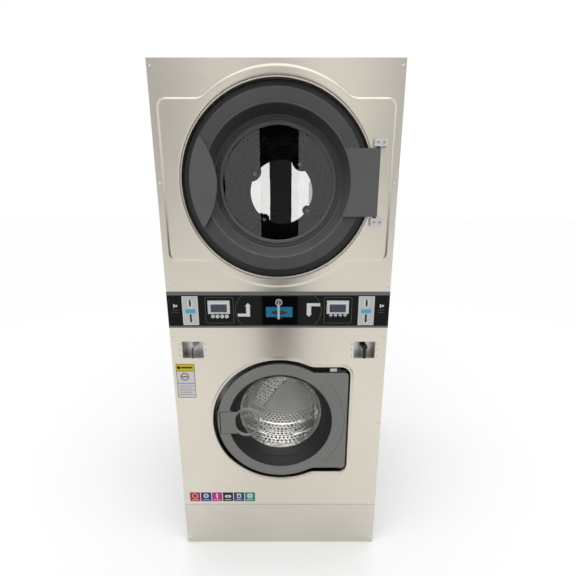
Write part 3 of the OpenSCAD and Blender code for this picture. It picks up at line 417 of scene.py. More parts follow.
def oblong(cx, cz, width, height, corner=2.0, count=6):
    """A rectangle with round corners."""
    x = width / 2 - corner
    z = height / 2 - corner
    return (arc(cx + x, cz + z, corner, 0, 90, count) + arc(cx - x, cz + z, corner, 90, 180, count)
            + arc(cx - x, cz - z, corner, 180, 270, count) + arc(cx + x, cz - z, corner, 270, 360, count))


def inside(point, rings):
    """True if a flat point lies inside the outlines, holes left out."""
    hit = False
    for ring in rings:
        for a, b in zip(ring, ring[1:] + ring[:1]):
            if (a.y > point.y) != (b.y > point.y):
                hit ^= point.x < a.x + (point.y - a.y) * (b.x - a.x) / (b.y - a.y)
    return hit


def fill_flat(bm, rings):
    """Fills the flat region between closed rings of vertices with triangles."""
    flat_rings = [[Vector((v.co.x, v.co.z)) for v in ring] for ring in rings]
    points = [p for ring in flat_rings for p in ring]
    verts = [v for ring in rings for v in ring]
    edges, start = [], 0
    for ring in rings:
        count = len(ring)
        edges += [(start + i, start + (i + 1) % count) for i in range(count)]
        start += count
    _, _, triangles, sources, _, _ = delaunay_2d_cdt(points, edges, [], 0, 1e-7)
    for triangle in triangles:
        corners = [sources[i][0] for i in triangle]
        if inside(sum((points[i] for i in corners), Vector((0, 0))) / 3, flat_rings):
            bm.faces.new([verts[i] for i in corners])


def finish_bmesh(name, bm, material, body, **look):
    """Turns a bmesh into a finished piece."""
    mesh = bpy.data.meshes.new(name)
    bm.to_mesh(mesh)
    bm.free()
    return finish_mesh(name, mesh, material, body, **look)


def cut_sheet(name, outlines, y, thick, material, body, **look):
    """A flat piece with holes: the first outline is its edge, the others are its holes."""
    bm = bmesh.new()
    fill_flat(bm, [[bm.verts.new(place(x, y, z)) for x, z in outline] for outline in outlines])
    made = bmesh.ops.extrude_face_region(bm, geom=bm.faces[:])
    moved = [v for v in made["geom"] if isinstance(v, bmesh.types.BMVert)]
    bmesh.ops.translate(bm, verts=moved, vec=(0, thick * MM, 0))
    bmesh.ops.recalc_face_normals(bm, faces=bm.faces)
    return finish_bmesh(name, bm, material, body, **look)


# Thickness of the front panels' steel
PANEL_SHEET = 1.5


def pressed_sheet(name, outlines, rings, y, material, body, **look):
    """A pressed steel sheet: flat inside its outlines, then swept along rings of (outline, y) to an
    opening."""
    bm = bmesh.new()

    def loop(outline, depth):
        """Vertices of an outline at a depth."""
        return [bm.verts.new(place(x, depth, z)) for x, z in outline]

    previous = loop(*rings[0])
    fill_flat(bm, [loop(outline, y) for outline in outlines] + [previous])
    for outline, depth in rings[1:]:
        ring = loop(outline, depth)
        for i in range(len(ring)):
            j = (i + 1) % len(ring)
            bm.faces.new((previous[i], previous[j], ring[j], ring[i]))
        previous = ring
    bmesh.ops.recalc_face_normals(bm, faces=bm.faces)
    if sum(f.normal.y for f in bm.faces) > 0:
        bmesh.ops.reverse_faces(bm, faces=bm.faces)
    thicken(bm, PANEL_SHEET)
    return finish_bmesh(name, bm, material, body, smooth=50, **look)


def mark(name, outlines, y, material, body="cabinet", thick=0.12, slot=None):
    """A printed mark: a film that lies on the surface at y. Its slot is passed on, but no piece is given
    one.
    """
    return cut_sheet(name, outlines, y - thick, thick, material, body, slot=slot)


def frame_line(cx, cz, width, height, line, corner=3.0):
    """Outlines of a thin rectangular frame."""
    return [oblong(cx, cz, width, height, corner),
            oblong(cx, cz, width - 2 * line, height - 2 * line, corner - line)]


# ---------- CAD nodes that keep their shape ----------

# Material, rounding of the edges in millimetres, and the nodes that have them
LOOKS = [
    (DARK_PAINT, 0.8, "base_frame"), (DARK_PAINT, 1.5, "washer_bearing_housing"),
    (SIDE_PAINT, 0.6, "left_side_panel right_side_panel top_cover"), (SIDE_PAINT, 0.4, "rear_panels"),
    (ZINC, 0.4, "middle_deck blower_housing exhaust_duct heater_box lint_duct"), (ZINC, 0.2, "blower_wheel"),
    (PLINTH_SHADED_STEEL, 0.5, "plinth_panel"), (TRIM, 0.5, "fascia_trims"), (FASCIA, 0.4, "control_fascia"),
    (WHITE_PLASTIC, 0.8, "display_modules"), (COIN_STEEL, 0.5, "coin_plates"),
    (POCKET_STEEL, 0.4, "cash_box_pockets"), (BLACK_PAINT, 0.4, "dryer_front_bulkhead dryer_rear_bulkhead"),
    (BLACK_PAINT, 0.8, "door_hinge_brackets"), (MOTOR_PAINT, 3, "dryer_motor washer_motor"),
    (BELT, 0.4, "dryer_belt washer_belt"), (TUB_STEEL, 0.5, "washer_tub"), (GASKET, 1.0, "door_gasket"),
    (PIPE, 0.8, "drain_valve"), (VALVE, 0.8, "water_valves"), (LOCK_BOX, 0.8, "washer_door_lock"),
    (DRYER_SHADED_STEEL, 1.0, "dryer_lifters"), (HANDLE_GREY, 0.8, "dryer_hinge_cover"),
    (HANDLE_GREY, 1.5, "dryer_door_handle"), (CAST, 0.5, "dryer_motor_shaft washer_motor_pulley"),
    (CAST, 1.0, "washer_drum_shaft"), (CAST, 0.8, "washer_drum_pulley"), (NICKEL, 0.4, "fascia_lock"),
    (NICKEL, 0.5, "left_cash_lock"), (PRINT_BLACK, 0.8, "right_cash_lock"),
    (HUB_STEEL, 0.5, "dryer_drum_shaft"), (WASHER_GREY, 1.2, "washer_door_handle washer_door_ring"),
]
LOOKS += [(BUTTON_WHITE, 0.5, f"round_button_{number} oval_button_{number}") for number in range(1, 5)]
for material, width, names in LOOKS:
    for node in names.split():
        piece = nodes[node]
        piece.data.materials.clear()
        piece.data.materials.append(material)
        round_edges(piece, width)


# ---------- Dryer front panel: raised field, rolled door opening ----------

DRYER_X, _, DRYER_Z = middle("dryer_drum")
DRYER = (DRYER_X, DRYER_Z)
FIELD_W, FIELD_H, FIELD_CORNER, FIELD_DISC, FIELD_FILLET = 403, 275, 28, 375, 60


def line(start, end, count):
    """Points between two corners, without the ends."""
    return [(start[0] + (end[0] - start[0]) * i / count, start[1] + (end[1] - start[1]) * i / count)
            for i in range(1, count)]


def lobed(inset):
    """The raised field's outline: a wide rounded rectangle joined to a disc by four round blends."""
    w, h, corner = FIELD_W - inset, FIELD_H - inset, FIELD_CORNER - inset
    disc, blend = FIELD_DISC - inset, FIELD_FILLET + inset
    x = math.sqrt((disc + blend) ** 2 - (h + blend) ** 2)
    turn = math.degrees(math.atan2(h + blend, x))
    half = line((w, corner - h), (w, h - corner), 50) + arc(w - corner, h - corner, corner, 0, 90, 12)
    half += line((w - corner, h), (x, h), 10) + arc(x, h + blend, blend, 270, 180 + turn, 10)
    half += arc(0, 0, disc, turn, 180 - turn, 70) + arc(-x, h + blend, blend, -turn, -90, 10)
    half += line((-x, h), (corner - w, h), 10) + arc(corner - w, h - corner, corner, 90, 180, 12)
    whole = half + [(-x, -z) for x, z in half]
    return [(DRYER_X + x, DRYER_Z + z) for x, z in whole]


RAYS = [math.atan2(z - DRYER_Z, x - DRYER_X) for x, z in lobed(6)]


def opening(radius):
    """A circle with its points in line with the raised field's."""
    return [polar(DRYER, radius, angle) for angle in RAYS]


def panel_edge(node, inset=0.4):
    """A front panel's outline, a little inside its CAD box."""
    lo, hi = spans(node)
    mid, size = (lo + hi) / 2, hi - lo
    return oblong(mid.x, mid.z, size.x - 2 * inset, size.z - 2 * inset, 1.5)


# The pressed edges: how far each ring is moved in, or its radius, and how deep it lies
FIELD_PRESS = [(-6.5, 0), (-5, 0), (-3, -0.3), (-1, -1.2), (1, -2.6), (3, -3.6), (6, -4), (7.5, -4)]
DRYER_ROLL = [(353.5, -4), (352, -4), (347, -4), (345.5, -3.4), (345, 1), (343, 1), (342.5, -3.2),
              (341.4, -4.3), (339.6, -4.7), (338.2, -3.9), (337.7, -2), (337.6, 6), (337.6, 16)]


dryer_panel = pressed_sheet(
    "dryer_front_sheet", [panel_edge("dryer_front_panel")],
    [(lobed(inset), y) for inset, y in FIELD_PRESS] + [(opening(radius), y) for radius, y in DRYER_ROLL],
    0, STEEL, "cabinet")
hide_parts("dryer_front_panel")

# ---------- Washer front panel: pressed rim, pocket openings ----------

WASHER_X, _, WASHER_Z = middle("washer_drum")
WASHER = (WASHER_X, WASHER_Z)


def keyhole(radius, right, half, corner, blend):
    """A disc with a rounded square joined to its right side by two round blends."""
    x = math.sqrt((radius + blend) ** 2 - (half + blend) ** 2)
    turn = math.degrees(math.atan2(half + blend, x))
    points = arc(right - corner, half - corner, corner, 0, 90, 12)
    points += arc(x, half + blend, blend, 270, 180 + turn, 10)
    points += arc(0, 0, radius, turn, 360 - turn, 170)
    points += arc(x, -half - blend, blend, 180 - turn, 90, 10)
    points += arc(right - corner, corner - half, corner, 270, 360, 12)
    return [(WASHER_X + x, WASHER_Z + z) for x, z in points]


def washer_opening(out):
    """The washer panel's opening, moved outwards."""
    return keyhole(281 + out, 286 + out, 249 + out, 36 + out, 60 - out)


# How far each ring of the pressed rim is moved out, and how deep it lies
WASHER_RIM = [(19, 0), (17, 0), (14.5, -0.4), (12, -1.6), (9.5, -2.7), (7, -3), (4.5, -2.6), (2.5, -1.2),
              (1, 1.2), (0.3, 4), (0.2, 12)]

pockets = [middle("left_cash_lock")[0], middle("right_cash_lock")[0]]
pocket_lo, pocket_hi = spans("cash_box_pockets")
POCKET_Z = (pocket_lo.z + pocket_hi.z) / 2
washer_panel = pressed_sheet(
    "washer_front_sheet",
    [panel_edge("washer_front_panel")] + [oblong(x, POCKET_Z, 86, 72, 3) for x in pockets],
    [(washer_opening(out), y) for out, y in WASHER_RIM],
    0, STEEL, "cabinet")
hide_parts("washer_front_panel")


# ---------- Screws ----------

def screw_heads(name, centres, radius, height, y, material, body="cabinet", slot=None, steps=24):
    """Domed heads with a cross recess, all one mesh."""
    profile = [(0.0, -1.0), (0.5, -0.96), (0.82, -0.72), (1.0, -0.25), (1.0, 0.1)]
    points, faces = [], []
    for cx, cz in centres:
        base = len(points)
        points.append((cx, y - height * 0.62, cz))
        for r, h in profile[1:]:
            for k in range(steps):
                angle = TAU * k / steps
                arm = abs(math.cos(2 * angle)) > 0.86 and r < 0.6
                depth = height * 0.45 if arm else 0
                points.append((cx + radius * r * math.cos(angle), y + height * h + depth,
                               cz + radius * r * math.sin(angle)))
        for k in range(steps):
            j = (k + 1) % steps
            faces.append((base, base + 1 + k, base + 1 + j))
            for ring in range(len(profile) - 2):
                a = base + 1 + ring * steps
                faces.append((a + k, a + steps + k, a + steps + j, a + j))
        last = base + 1 + (len(profile) - 2) * steps
        faces.append(tuple(last + k for k in range(steps)))
    return build(name, points, faces, material, body, slot=slot, smooth=50)


PANEL_SCREW_R = 5
screw_x = spans("panel_screws")[1].x - PANEL_SCREW_R
panel_screw_zs = [1971, DRYER_Z, 1227, 1023, WASHER_Z - 1, 247.5, 181, 28.5]
big_screws = screw_heads("panel_screw_heads", [(s * screw_x, z) for s in (-1, 1) for z in panel_screw_zs],
                         PANEL_SCREW_R, 1.8, 0, BRIGHT)
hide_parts("panel_screws")
screw_heads("pocket_screw_heads",
            [(x + t * 51, POCKET_Z + dz) for x in pockets for t in (-1, 1) for dz in (-25, 0, 25)],
            2.6, 1.0, 0, CAST)

# ---------- Dryer door ----------

DOOR_STEPS = 220
door_ring = lathe("dryer_door_ring_shell", DRYER,
                  [(309, 14), (309, -12), (267, -12), (263, -11.4), (259.6, -9.6), (257.2, -6.6),
                   (238.6, 38.6), (236.2, 42.4), (232, 45), (221.5, 45), (221.5, 49), (240, 49), (263, -6),
                   (305, -8), (305, 14)],
                  DOOR_GREY, "dryer_door", steps=DOOR_STEPS, soft=2.2)
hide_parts("dryer_door_ring")
inner_ring = lathe("dryer_door_inner_ring_shell", DRYER,
                   [(217, 43), (213.5, 41.6), (207, 42.4), (203, 44), (203, 52), (238, 52), (238, 49.3),
                    (217, 49.3)], DOOR_DARK, "dryer_door", steps=DOOR_STEPS, soft=0.8)
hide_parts("dryer_door_inner_ring")
# A black ring on the flat annulus at the foot of the door's cone: painted shade, the dark line of a gap
# between the door's rings
lathe("dryer_door_gap_shade_ring", DRYER, [(230.5, 44.2), (227.5, 44.2), (227.5, 45.3), (230.5, 45.3)],
      BLACK_PAINT, "dryer_door", steps=DOOR_STEPS, soft=0)
# A lighter, glossy bead on the cone's front edge: painted highlight in its lighter grey, real gloss under
# the lamps
lathe("dryer_door_highlight_bead", DRYER,
      [(263.2, -11.2), (262.2, -12.0), (260.6, -11.4), (259.8, -10.0), (261, -9.6)],
      DOOR_HIGHLIGHT_GLOSS, "dryer_door", steps=DOOR_STEPS, soft=0.3)
window = lathe("dryer_door_window", DRYER, [(236, 52.2), (0, 52.2), (0, 57.2), (236, 57.2)],
               GLASS, "dryer_door", steps=DOOR_STEPS, soft=1)
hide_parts("dryer_door_glass")
hinge_lo, hinge_hi = spans("dryer_hinge_cover")
BLOCK_Y = -22.4
block_middles = [hinge_hi.z + 18.5, hinge_lo.z - 18.5]
for number, z in enumerate(block_middles):
    cut_sheet(f"dryer_hinge_block_cap_{number + 1}", [oblong(355.5, z, 43.6, 25.6, 2)], BLOCK_Y, 18, BLOCK,
              "cabinet", bevel=1)
screw_heads("hinge_block_screws", [(x, z) for x in (345, 366) for z in block_middles], 4, 1.5, BLOCK_Y, CAST,
            slot="hinge_steel")


# ---------- Perforated sheet ----------

# Thickness of the drums' steel
DRUM_SHEET = 1.2


def perforated(name, centre, start, end, rows, columns, hole, material, body):
    """A turned sheet with staggered holes, from one (radius, y) to another."""
    (r1, y1), (r2, y2) = start, end
    points, faces, known = [], [], {}

    def surface(u, v):
        """A point of the sheet, u over the columns and v over the rows."""
        share = v / rows
        return turned_point(centre, r1 + (r2 - r1) * share, y1 + (y2 - y1) * share, TAU * u / columns)

    def corner(u2, v2):
        """Number of the point at half steps (u2, v2), shared by the cells around it."""
        key = (u2 % (2 * columns), v2)
        if key not in known:
            known[key] = len(points)
            points.append(surface(key[0] / 2, v2 / 2))
        return known[key]

    around = [(-1, -1), (0, -1), (1, -1), (1, 0), (1, 1), (0, 1), (-1, 1), (-1, 0)]
    for row in range(rows):
        for column in range(columns):
            u2, v2 = 2 * column + row % 2, 2 * row + 1
            outer = [corner(u2 + du, v2 + dv) for du, dv in around]
            inner = []
            for du, dv in around:
                size = hole / math.hypot(du, dv)
                inner.append(len(points))
                points.append(surface(u2 / 2 + du * size, v2 / 2 + dv * size))
            for k in range(8):
                j = (k + 1) % 8
                faces.append((outer[k], outer[j], inner[j], inner[k]))
    return build(name, points, faces, material, body, thick=DRUM_SHEET, smooth=40)


# ---------- Dryer drum ----------

DRUM_R = spans("dryer_drum")[1].x - DRYER_X
DRUM_IN = DRUM_R - 1.5
BACK_RIM_R, HUB_PLATE_R = 352, 172
# The dryer drum's steel is painted near black for its unlit inside: painted shade
drum_shell = lathe("dryer_drum_shell", DRYER,
                   [(298, 58), (DRUM_R, 58), (DRUM_R, 110), (DRUM_IN, 110), (DRUM_IN, 60), (298, 60)],
                   DRYER_SHADED_STEEL, "dryer_basket", soft=0.6)
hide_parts("dryer_drum")
perforated("dryer_drum_side", DRYER, (DRUM_R - 0.75, 110), (DRUM_R - 0.75, 700), 28, 110, 0.34,
           DRYER_SHADED_STEEL, "dryer_basket")
lathe("dryer_drum_back_rim", DRYER,
      [(DRUM_R, 700), (DRUM_R, 720), (BACK_RIM_R, 720), (BACK_RIM_R, 718.5), (DRUM_IN, 718.5),
       (DRUM_IN, 700)],
      DRYER_SHADED_STEEL, "dryer_basket", soft=0.6)
for number, (r1, r2, rows, columns) in enumerate([(HUB_PLATE_R, 262, 8, 120), (262, BACK_RIM_R, 8, 168)]):
    perforated(f"dryer_drum_back_{number + 1}", DRYER, (r1, 719.2), (r2, 719.2), rows, columns, 0.36,
               DRYER_SHADED_STEEL, "dryer_basket")
lathe("dryer_drum_hub_plate", DRYER,
      [(HUB_PLATE_R, 718.6), (HUB_PLATE_R, 720), (20.5, 720), (20.5, 718.6)],
      DRYER_SHADED_STEEL, "dryer_basket", soft=0)

HUB_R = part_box("dryer_drum_shaft")[1].x / MM - DRYER_X
HUB_Y = spans("dryer_drum_shaft")[0].y
NOTCH_R = 55
NOTCH_AT = 1.17 * HUB_R
DISH_DEPTH = 16
LIFTER_ANGLE = 56
DISH_STEPS = 360


def hub_dish(radius_out):
    """Outline of the hub cover out to a radius: a disc with four round notches at the lifters."""
    points = []
    for k in range(DISH_STEPS):
        angle = TAU * k / DISH_STEPS
        off = (math.degrees(angle) - LIFTER_ANGLE + 45) % 90 - 45
        reach = NOTCH_AT * math.sin(math.radians(abs(off)))
        near = NOTCH_AT * math.cos(math.radians(off)) - math.sqrt(max(NOTCH_R ** 2 - reach ** 2, 0))
        limit = min(near, HUB_R) if reach < NOTCH_R else HUB_R
        points.append(polar(DRYER, min(radius_out, limit), angle))
    return points


dish_points, dish_faces = [], []
DISH_RINGS = [10, 30, 50, 70, 90, 110, 125, 138, 146, 152, 158, 164, HUB_R - 2, HUB_R]
for radius in DISH_RINGS:
    start = len(dish_points)
    for x, z in hub_dish(radius):
        share = math.hypot(x - DRYER_X, z - DRYER_Z) / HUB_R
        dish_points.append((x, HUB_Y - 1.2 - DISH_DEPTH * share ** 2, z))
    if not start:
        dish_faces.append(tuple(range(DISH_STEPS)))
        continue
    inner = start - DISH_STEPS
    for k in range(DISH_STEPS):
        j = (k + 1) % DISH_STEPS
        dish_faces.append((inner + k, inner + j, start + j, start + k))
build("dryer_hub_cover", dish_points, dish_faces, HUB_STEEL, "dryer_basket", thick=0.8, smooth=30)
BOLT_AT = 1.03 * HUB_R
bolts = [polar(DRYER, BOLT_AT, math.radians(LIFTER_ANGLE + 90 * k)) for k in range(4)]
screw_heads("dryer_hub_bolts", bolts, 13, 6, HUB_Y - 1, HUB_STEEL, "dryer_basket")

# ---------- Washer drum ----------

basket_hi = spans("washer_drum")[1]
BASKET_R = basket_hi.x - WASHER_X
BASKET_IN = BASKET_R - 1.5
BACK_Y = basket_hi.y
basket_front = lathe("washer_drum_front", WASHER,
                     [(203.5, 84), (205, 84), (206, 91), (212, 92), (BASKET_R - 8, 92), (BASKET_R, 98),
                      (BASKET_R, 112), (BASKET_IN, 112), (BASKET_IN, 100), (BASKET_R - 9, 93.5), (205, 93.5),
                      (203.5, 92)], DRUM_STEEL, "washer_basket", soft=0.5)
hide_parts("washer_drum")
BANDS = [(112, 196), (214, 298), (316, 400), (418, 502)]
for number, (y1, y2) in enumerate(BANDS):
    perforated(f"washer_drum_band_{number + 1}", WASHER, (BASKET_R - 0.75, y1), (BASKET_R - 0.75, y2),
               4, 88, 0.36, DRUM_STEEL, "washer_basket")
beads = [(a[1], b[0]) for a, b in zip(BANDS, BANDS[1:])] + [(BANDS[-1][1], BACK_Y)]
for number, (y1, y2) in enumerate(beads):
    mid = (y1 + y2) / 2
    outer = [(BASKET_R, y1), (BASKET_R, mid - 5), (BASKET_R - 4, mid), (BASKET_R, mid + 5), (BASKET_R, y2)]
    inner = [(r - 1.5, y) for r, y in reversed(outer)]
    lathe(f"washer_drum_bead_{number + 1}", WASHER, outer + inner, DRUM_STEEL, "washer_basket", soft=1.5)


def lobe(angle, reach, tip, spread, count=24):
    """A three-sided pressed lobe: an arc at the drum's wall, tapering to a round tip near the axis."""
    wall = arc(0, 0, reach, angle - spread, angle + spread, count)
    apex = Vector(polar((0, 0), tip, math.radians(angle)))
    start, end = Vector(wall[-1]).lerp(apex, 0.6), Vector(wall[0]).lerp(apex, 0.6)
    steps = [i / 12 for i in range(13)]
    curve = [start * (1 - t) ** 2 + apex * 2 * t * (1 - t) + end * t ** 2 for t in steps]
    return [(WASHER_X + x, WASHER_Z + z) for x, z in wall + [tuple(p) for p in curve]]


LOBE_ANGLES = (300, 60, 180)
for number, (r1, r2, rows, columns) in enumerate([(45, 173, 5, 44), (173, 297, 6, 80)]):
    perforated(f"washer_drum_back_{number + 1}", WASHER, (r1, BACK_Y - 0.6), (r2, BACK_Y - 0.6),
               rows, columns, 0.34, DRUM_STEEL, "washer_basket")
for number, angle in enumerate(LOBE_ANGLES):
    cut_sheet(f"washer_drum_lobe_{number + 1}", [lobe(angle, 296, 70, 54)], BACK_Y - 10, 8,
              SMOOTH_STEEL, "washer_basket", bevel=3.5, segments=4)
lathe("washer_drum_centre_plate", WASHER,
      [(0, BACK_Y - 3), (40, BACK_Y - 3), (62, BACK_Y - 12), (70, BACK_Y - 12), (78, BACK_Y - 2),
       (78, BACK_Y - 0.2), (0, BACK_Y - 0.2)], SMOOTH_STEEL, "washer_basket", soft=3)
lathe("washer_drum_back_corner", WASHER,
      [(BASKET_IN, BACK_Y - 26), (BASKET_R - 4, BACK_Y - 17), (BASKET_R - 10, BACK_Y - 9),
       (BASKET_R - 18, BACK_Y - 4), (BASKET_R - 27, BACK_Y - 1.5), (BASKET_R - 27, BACK_Y - 0.3),
       (BASKET_R - 1.6, BACK_Y - 0.3)], SMOOTH_STEEL, "washer_basket", soft=1)


def drum_lifter(name, angle):
    """A lifter of the washer drum: its cross-section (radius, side) swept along the drum. Its drain slots on
    both flanks are black faces: painted shade for the holes."""
    along = Vector(polar((0, 0), 1, math.radians(angle)))
    across = Vector((-along.y, along.x))
    outline = [(BASKET_R - 2, -36), (BASKET_R - 2, 36), (BASKET_R - 58, 14), (BASKET_R - 58, -14)]
    y1, y2 = 96, BACK_Y - 12

    def spot(radius, side, y):
        """A point at a radius along the lifter's middle and so far to its side."""
        flat = Vector(WASHER) + along * radius + across * side
        return flat.x, y, flat.y

    rounded = fillet(outline, 10, 5)
    count = len(rounded)
    points = [spot(r, w, y) for y in (y1, y2) for r, w in rounded]
    faces = [tuple(range(count)), tuple(range(count, 2 * count))]
    faces += [(i, (i + 1) % count, count + (i + 1) % count, count + i) for i in range(count)]
    build(name, points, faces, SMOOTH_STEEL, "washer_basket", smooth=40, bevel=3)
    (r1, w1), (r2, w2) = outline[1], outline[2]
    points, faces = [], []
    for side in (-1, 1):
        for k in range(LIFTER_SLOTS):
            y = y1 + (y2 - y1) * (k + 0.6) / LIFTER_SLOTS
            base = len(points)
            for t, z in oblong(0.5, 0, 0.36, 14, 0.15, 4):
                radius = r1 + (r2 - r1) * t
                width = w1 + (w2 - w1) * t + 0.25
                points.append(spot(radius, side * width, y + z * 0.6))
            faces.append(tuple(range(base, len(points))))
    build(f"{name}_slots", points, faces, HOLE_SHADE, "washer_basket")


LIFTER_SLOTS = 5
for number, angle in enumerate((90, 210, 330)):
    drum_lifter(f"washer_drum_lifter_{number + 1}", angle)

# ---------- Washer door ----------

lathe("washer_door_funnel", WASHER,
      [(212.0, 7.5), (198.6, 31), (194.5, 33), (181.6, 60), (179.6, 64.8), (179.4, 66.5), (184, 66.5),
       (202, 31.5), (214, 8.5)], CONE_DARK, "washer_door", steps=200, soft=1.5)
LATCH_HALF_ANGLE = 14.8
turned_part("washer_door_funnel_lip", WASHER, [(218.2, -3.1), (211.9, 7.6), (213.6, 8.2), (219.0, -1.2)],
            180 + LATCH_HALF_ANGLE, 540 - LATCH_HALF_ANGLE, CONE_DARK, "washer_door", steps=200)
bowl = lathe("washer_door_bowl", WASHER,
             [(183, 68.2), (172, 68.2), (166, 78), (156, 118), (147, 134), (128, 142), (90, 145.5),
              (0, 146), (0, 150.5), (92, 150), (131, 146.5), (151, 137.5), (161, 119), (171, 80), (176, 73),
              (183, 73)],
             GLASS, "washer_door", steps=200, soft=3)
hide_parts("washer_door_glass")
for pane in (window, bowl):
    pane.visible_shadow = False
    pane.visible_diffuse = False
door_front = spans("washer_door_ring")[0].y
seam = arc(*WASHER, 270.5, -47, 47, 60) + arc(*WASHER, 269.6, 47, -47, 60)
mark("washer_door_seam", [seam], door_front, PRINT_BLACK, "washer_door", 0.1, slot="")
cut_sheet("washer_hinge_plate", [oblong(223, 874, 28, 13, 2)], 3, 1.5, BLOCK, "cabinet", bevel=0.4)

# ---------- Control fascia ----------

SIDES = ((-1, "left"), (1, "right"))
fascia_lo, fascia_hi = spans("control_fascia")
FASCIA_Y, FASCIA_Z = fascia_lo.y, (fascia_lo.z + fascia_hi.z) / 2
display_lo, display_hi = spans("display_modules")
DISPLAY_HALF_W, COIN_HALF_W = 42.5, 31
DISPLAY_X, DISPLAY_Z = display_hi.x - DISPLAY_HALF_W, (display_lo.z + display_hi.z) / 2
coin_lo, coin_hi = spans("coin_plates")
COIN_X, COIN_Z = coin_hi.x - COIN_HALF_W, (coin_lo.z + coin_hi.z) / 2
# Height of the middle and length of each coin slot
COIN_SLOTS = ((1159, 25), (1097, 31))


def pill(half_w, half_h, bulge, cz):
    """A wide field with bowed ends."""
    radius = (half_h ** 2 + bulge ** 2) / (2 * bulge)
    sweep = math.degrees(math.asin(half_h / radius))
    right = arc(half_w - radius, cz, radius, -sweep, sweep, 20)
    left = arc(radius - half_w, cz, radius, 180 - sweep, 180 + sweep, 20)
    return right + left


mark("fascia_centre_field", [pill(168, 60, 26, FASCIA_Z), pill(166, 59, 26, FASCIA_Z)],
     FASCIA_Y, PRINT_OLIVE, thick=0.1)
mark("fascia_centre_panel", [pill(166, 58.6, 26, FASCIA_Z)], FASCIA_Y, PRINT_PANEL, thick=0.08)
for word, x1, x2 in (("left", -284, -173), ("right", 177, 286)):
    outline = frame_line((x1 + x2) / 2, 1129, x2 - x1, 106, 2.2, 5)
    mark(f"fascia_{word}_outline", outline, FASCIA_Y, PRINT_OLIVE)


def post(mid, width, start, end):
    """A post from a bar to its round end."""
    radius = width / 2
    if end > start:
        return arc(mid, end - radius, radius, 0, 180, 14) + [(mid - radius, start), (mid + radius, start)]
    return arc(mid, end + radius, radius, 180, 360, 14) + [(mid + radius, start), (mid - radius, start)]


# Side of the panel, then the outlines of the arrow's bar, post and head
ARROWS = [
    ("left", oblong(-137, 1110, 42, 12, 2, 4), post(-117.5, 15, 1104, 1154),
     [(-129, 1146), (-106, 1146), (-117.5, 1159)]),
    ("right", oblong(144, 1152, 36, 12, 2, 4), post(119, 17, 1158, 1107),
     [(131, 1116), (107, 1116), (119, 1103)]),
]
for word, *outlines in ARROWS:
    for k, part in enumerate(("bar", "post", "head")):
        mark(f"{word}_arrow_{part}", [outlines[k]], FASCIA_Y - 0.1 - 0.02 * k, PRINT_WHITE)
BLUE_X = 3.5
mark("fascia_blue_label", [oblong(BLUE_X, 1122.5, 103, 41, 1.5)], FASCIA_Y - 0.1, PRINT_BLUE)
blue_ellipse = [(BLUE_X + x * 4, 1120 + z) for x, z in circle(0, 0, 8, 60)]
mark("fascia_blue_label_ellipse", [blue_ellipse], FASCIA_Y - 0.22, PRINT_BROWN)
mark("fascia_blue_label_rule", [oblong(BLUE_X, 1096.5, 28, 1.6, 0.7)], FASCIA_Y - 0.1, PRINT_OLIVE,
     slot="fascia_black")
for side, word in SIDES:
    x = side * 400
    mark(f"fascia_{word}_icon", [oblong(x - 4, 1147, 6, 14, 2)], FASCIA_Y, PRINT_WHITE)
    mark(f"fascia_{word}_icon_dot", [circle(x + 5, 1147, 4.5, 24)], FASCIA_Y, PRINT_WHITE)
    for k in range(2):
        mark(f"fascia_{word}_rule_{k + 1}", [oblong(x, 1130 - 9 * k, 26, 2.2, 1)], FASCIA_Y, PRINT_GREY)
screw_heads("fascia_screws", [(x, z) for x in (-421, 421) for z in (1171, 1080)],
            4, 1.2, FASCIA_Y, PRINT_BLACK)

lock_x = middle("fascia_lock")[0]
mark("fascia_lock_face", [circle(lock_x, 1161, 9.5, 40)], -2, PRINT_BROWN,
     "fascia_lock_plug", slot="lock_metal")
strap_lo = spans("left_cash_lock")[0]
mark("left_cash_strap", [oblong(pockets[0], strap_lo.z + 24, 5, 48, 2.4)], strap_lo.y, PRINT_BLACK,
     "left_cash_lock_plug", slot="lock_metal")

# ---------- Displays and coin plates ----------

for side, word in SIDES:
    x = side * DISPLAY_X
    face = display_lo.y
    mark(f"{word}_lcd", [oblong(x, DISPLAY_Z - 4, 63, 31, 2)], face, LCD, thick=0.25)
    mark(f"{word}_display_line", frame_line(x, DISPLAY_Z, 79, 47, 0.8, 3), face, PRINT_GREY)
    for k in range(4):
        mid = x - 21 + 14 * k
        digit = [oblong(mid, DISPLAY_Z - 4, 9, 17, 1.5), oblong(mid, DISPLAY_Z, 5.4, 5.6, 0.8),
                 oblong(mid, DISPLAY_Z - 8, 5.4, 5.6, 0.8)]
        mark(f"{word}_lcd_digit_{k + 1}", digit, face - 0.25, LCD_DIGIT, thick=0.1)
    x = side * COIN_X
    face = coin_lo.y
    outer = [(x + dx, 1157 + z * 1.6) for dx, z in circle(0, 0, 11, 48)]
    inner = [(x + dx, 1157 + z * 2.4) for dx, z in circle(0, 0, 5.5, 48)]
    mark(f"{word}_coin_ring", [outer, inner], face, LABEL_WHITE)
    mark(f"{word}_coin_label", [oblong(x, 1126, 38, 16, 1.5)], face, PRINT_CYAN)
    arrow = [(x - 14, 1086), (x - 4, 1084), (x, 1079), (x + 4, 1084), (x + 14, 1086), (x, 1071)]
    mark(f"{word}_coin_arrow", [arrow], face, LABEL_WHITE)
    height = coin_hi.z - coin_lo.z
    rim = [oblong(x, COIN_Z, 60, height - 2, 6), oblong(x, COIN_Z, 55, height - 7, 4)]
    mark(f"{word}_coin_rim", rim, face, PRINT_WHITE)
    for number, (slot_z, slot_height) in enumerate(COIN_SLOTS):
        lip = [oblong(x, slot_z, 7, slot_height + 3, 3), oblong(x, slot_z, 3.4, slot_height, 1.6)]
        mark(f"{word}_coin_slot_lip_{number + 1}", lip, face, PRINT_BLACK, thick=0.2)

# ---------- Button marks, which ride on their buttons ----------

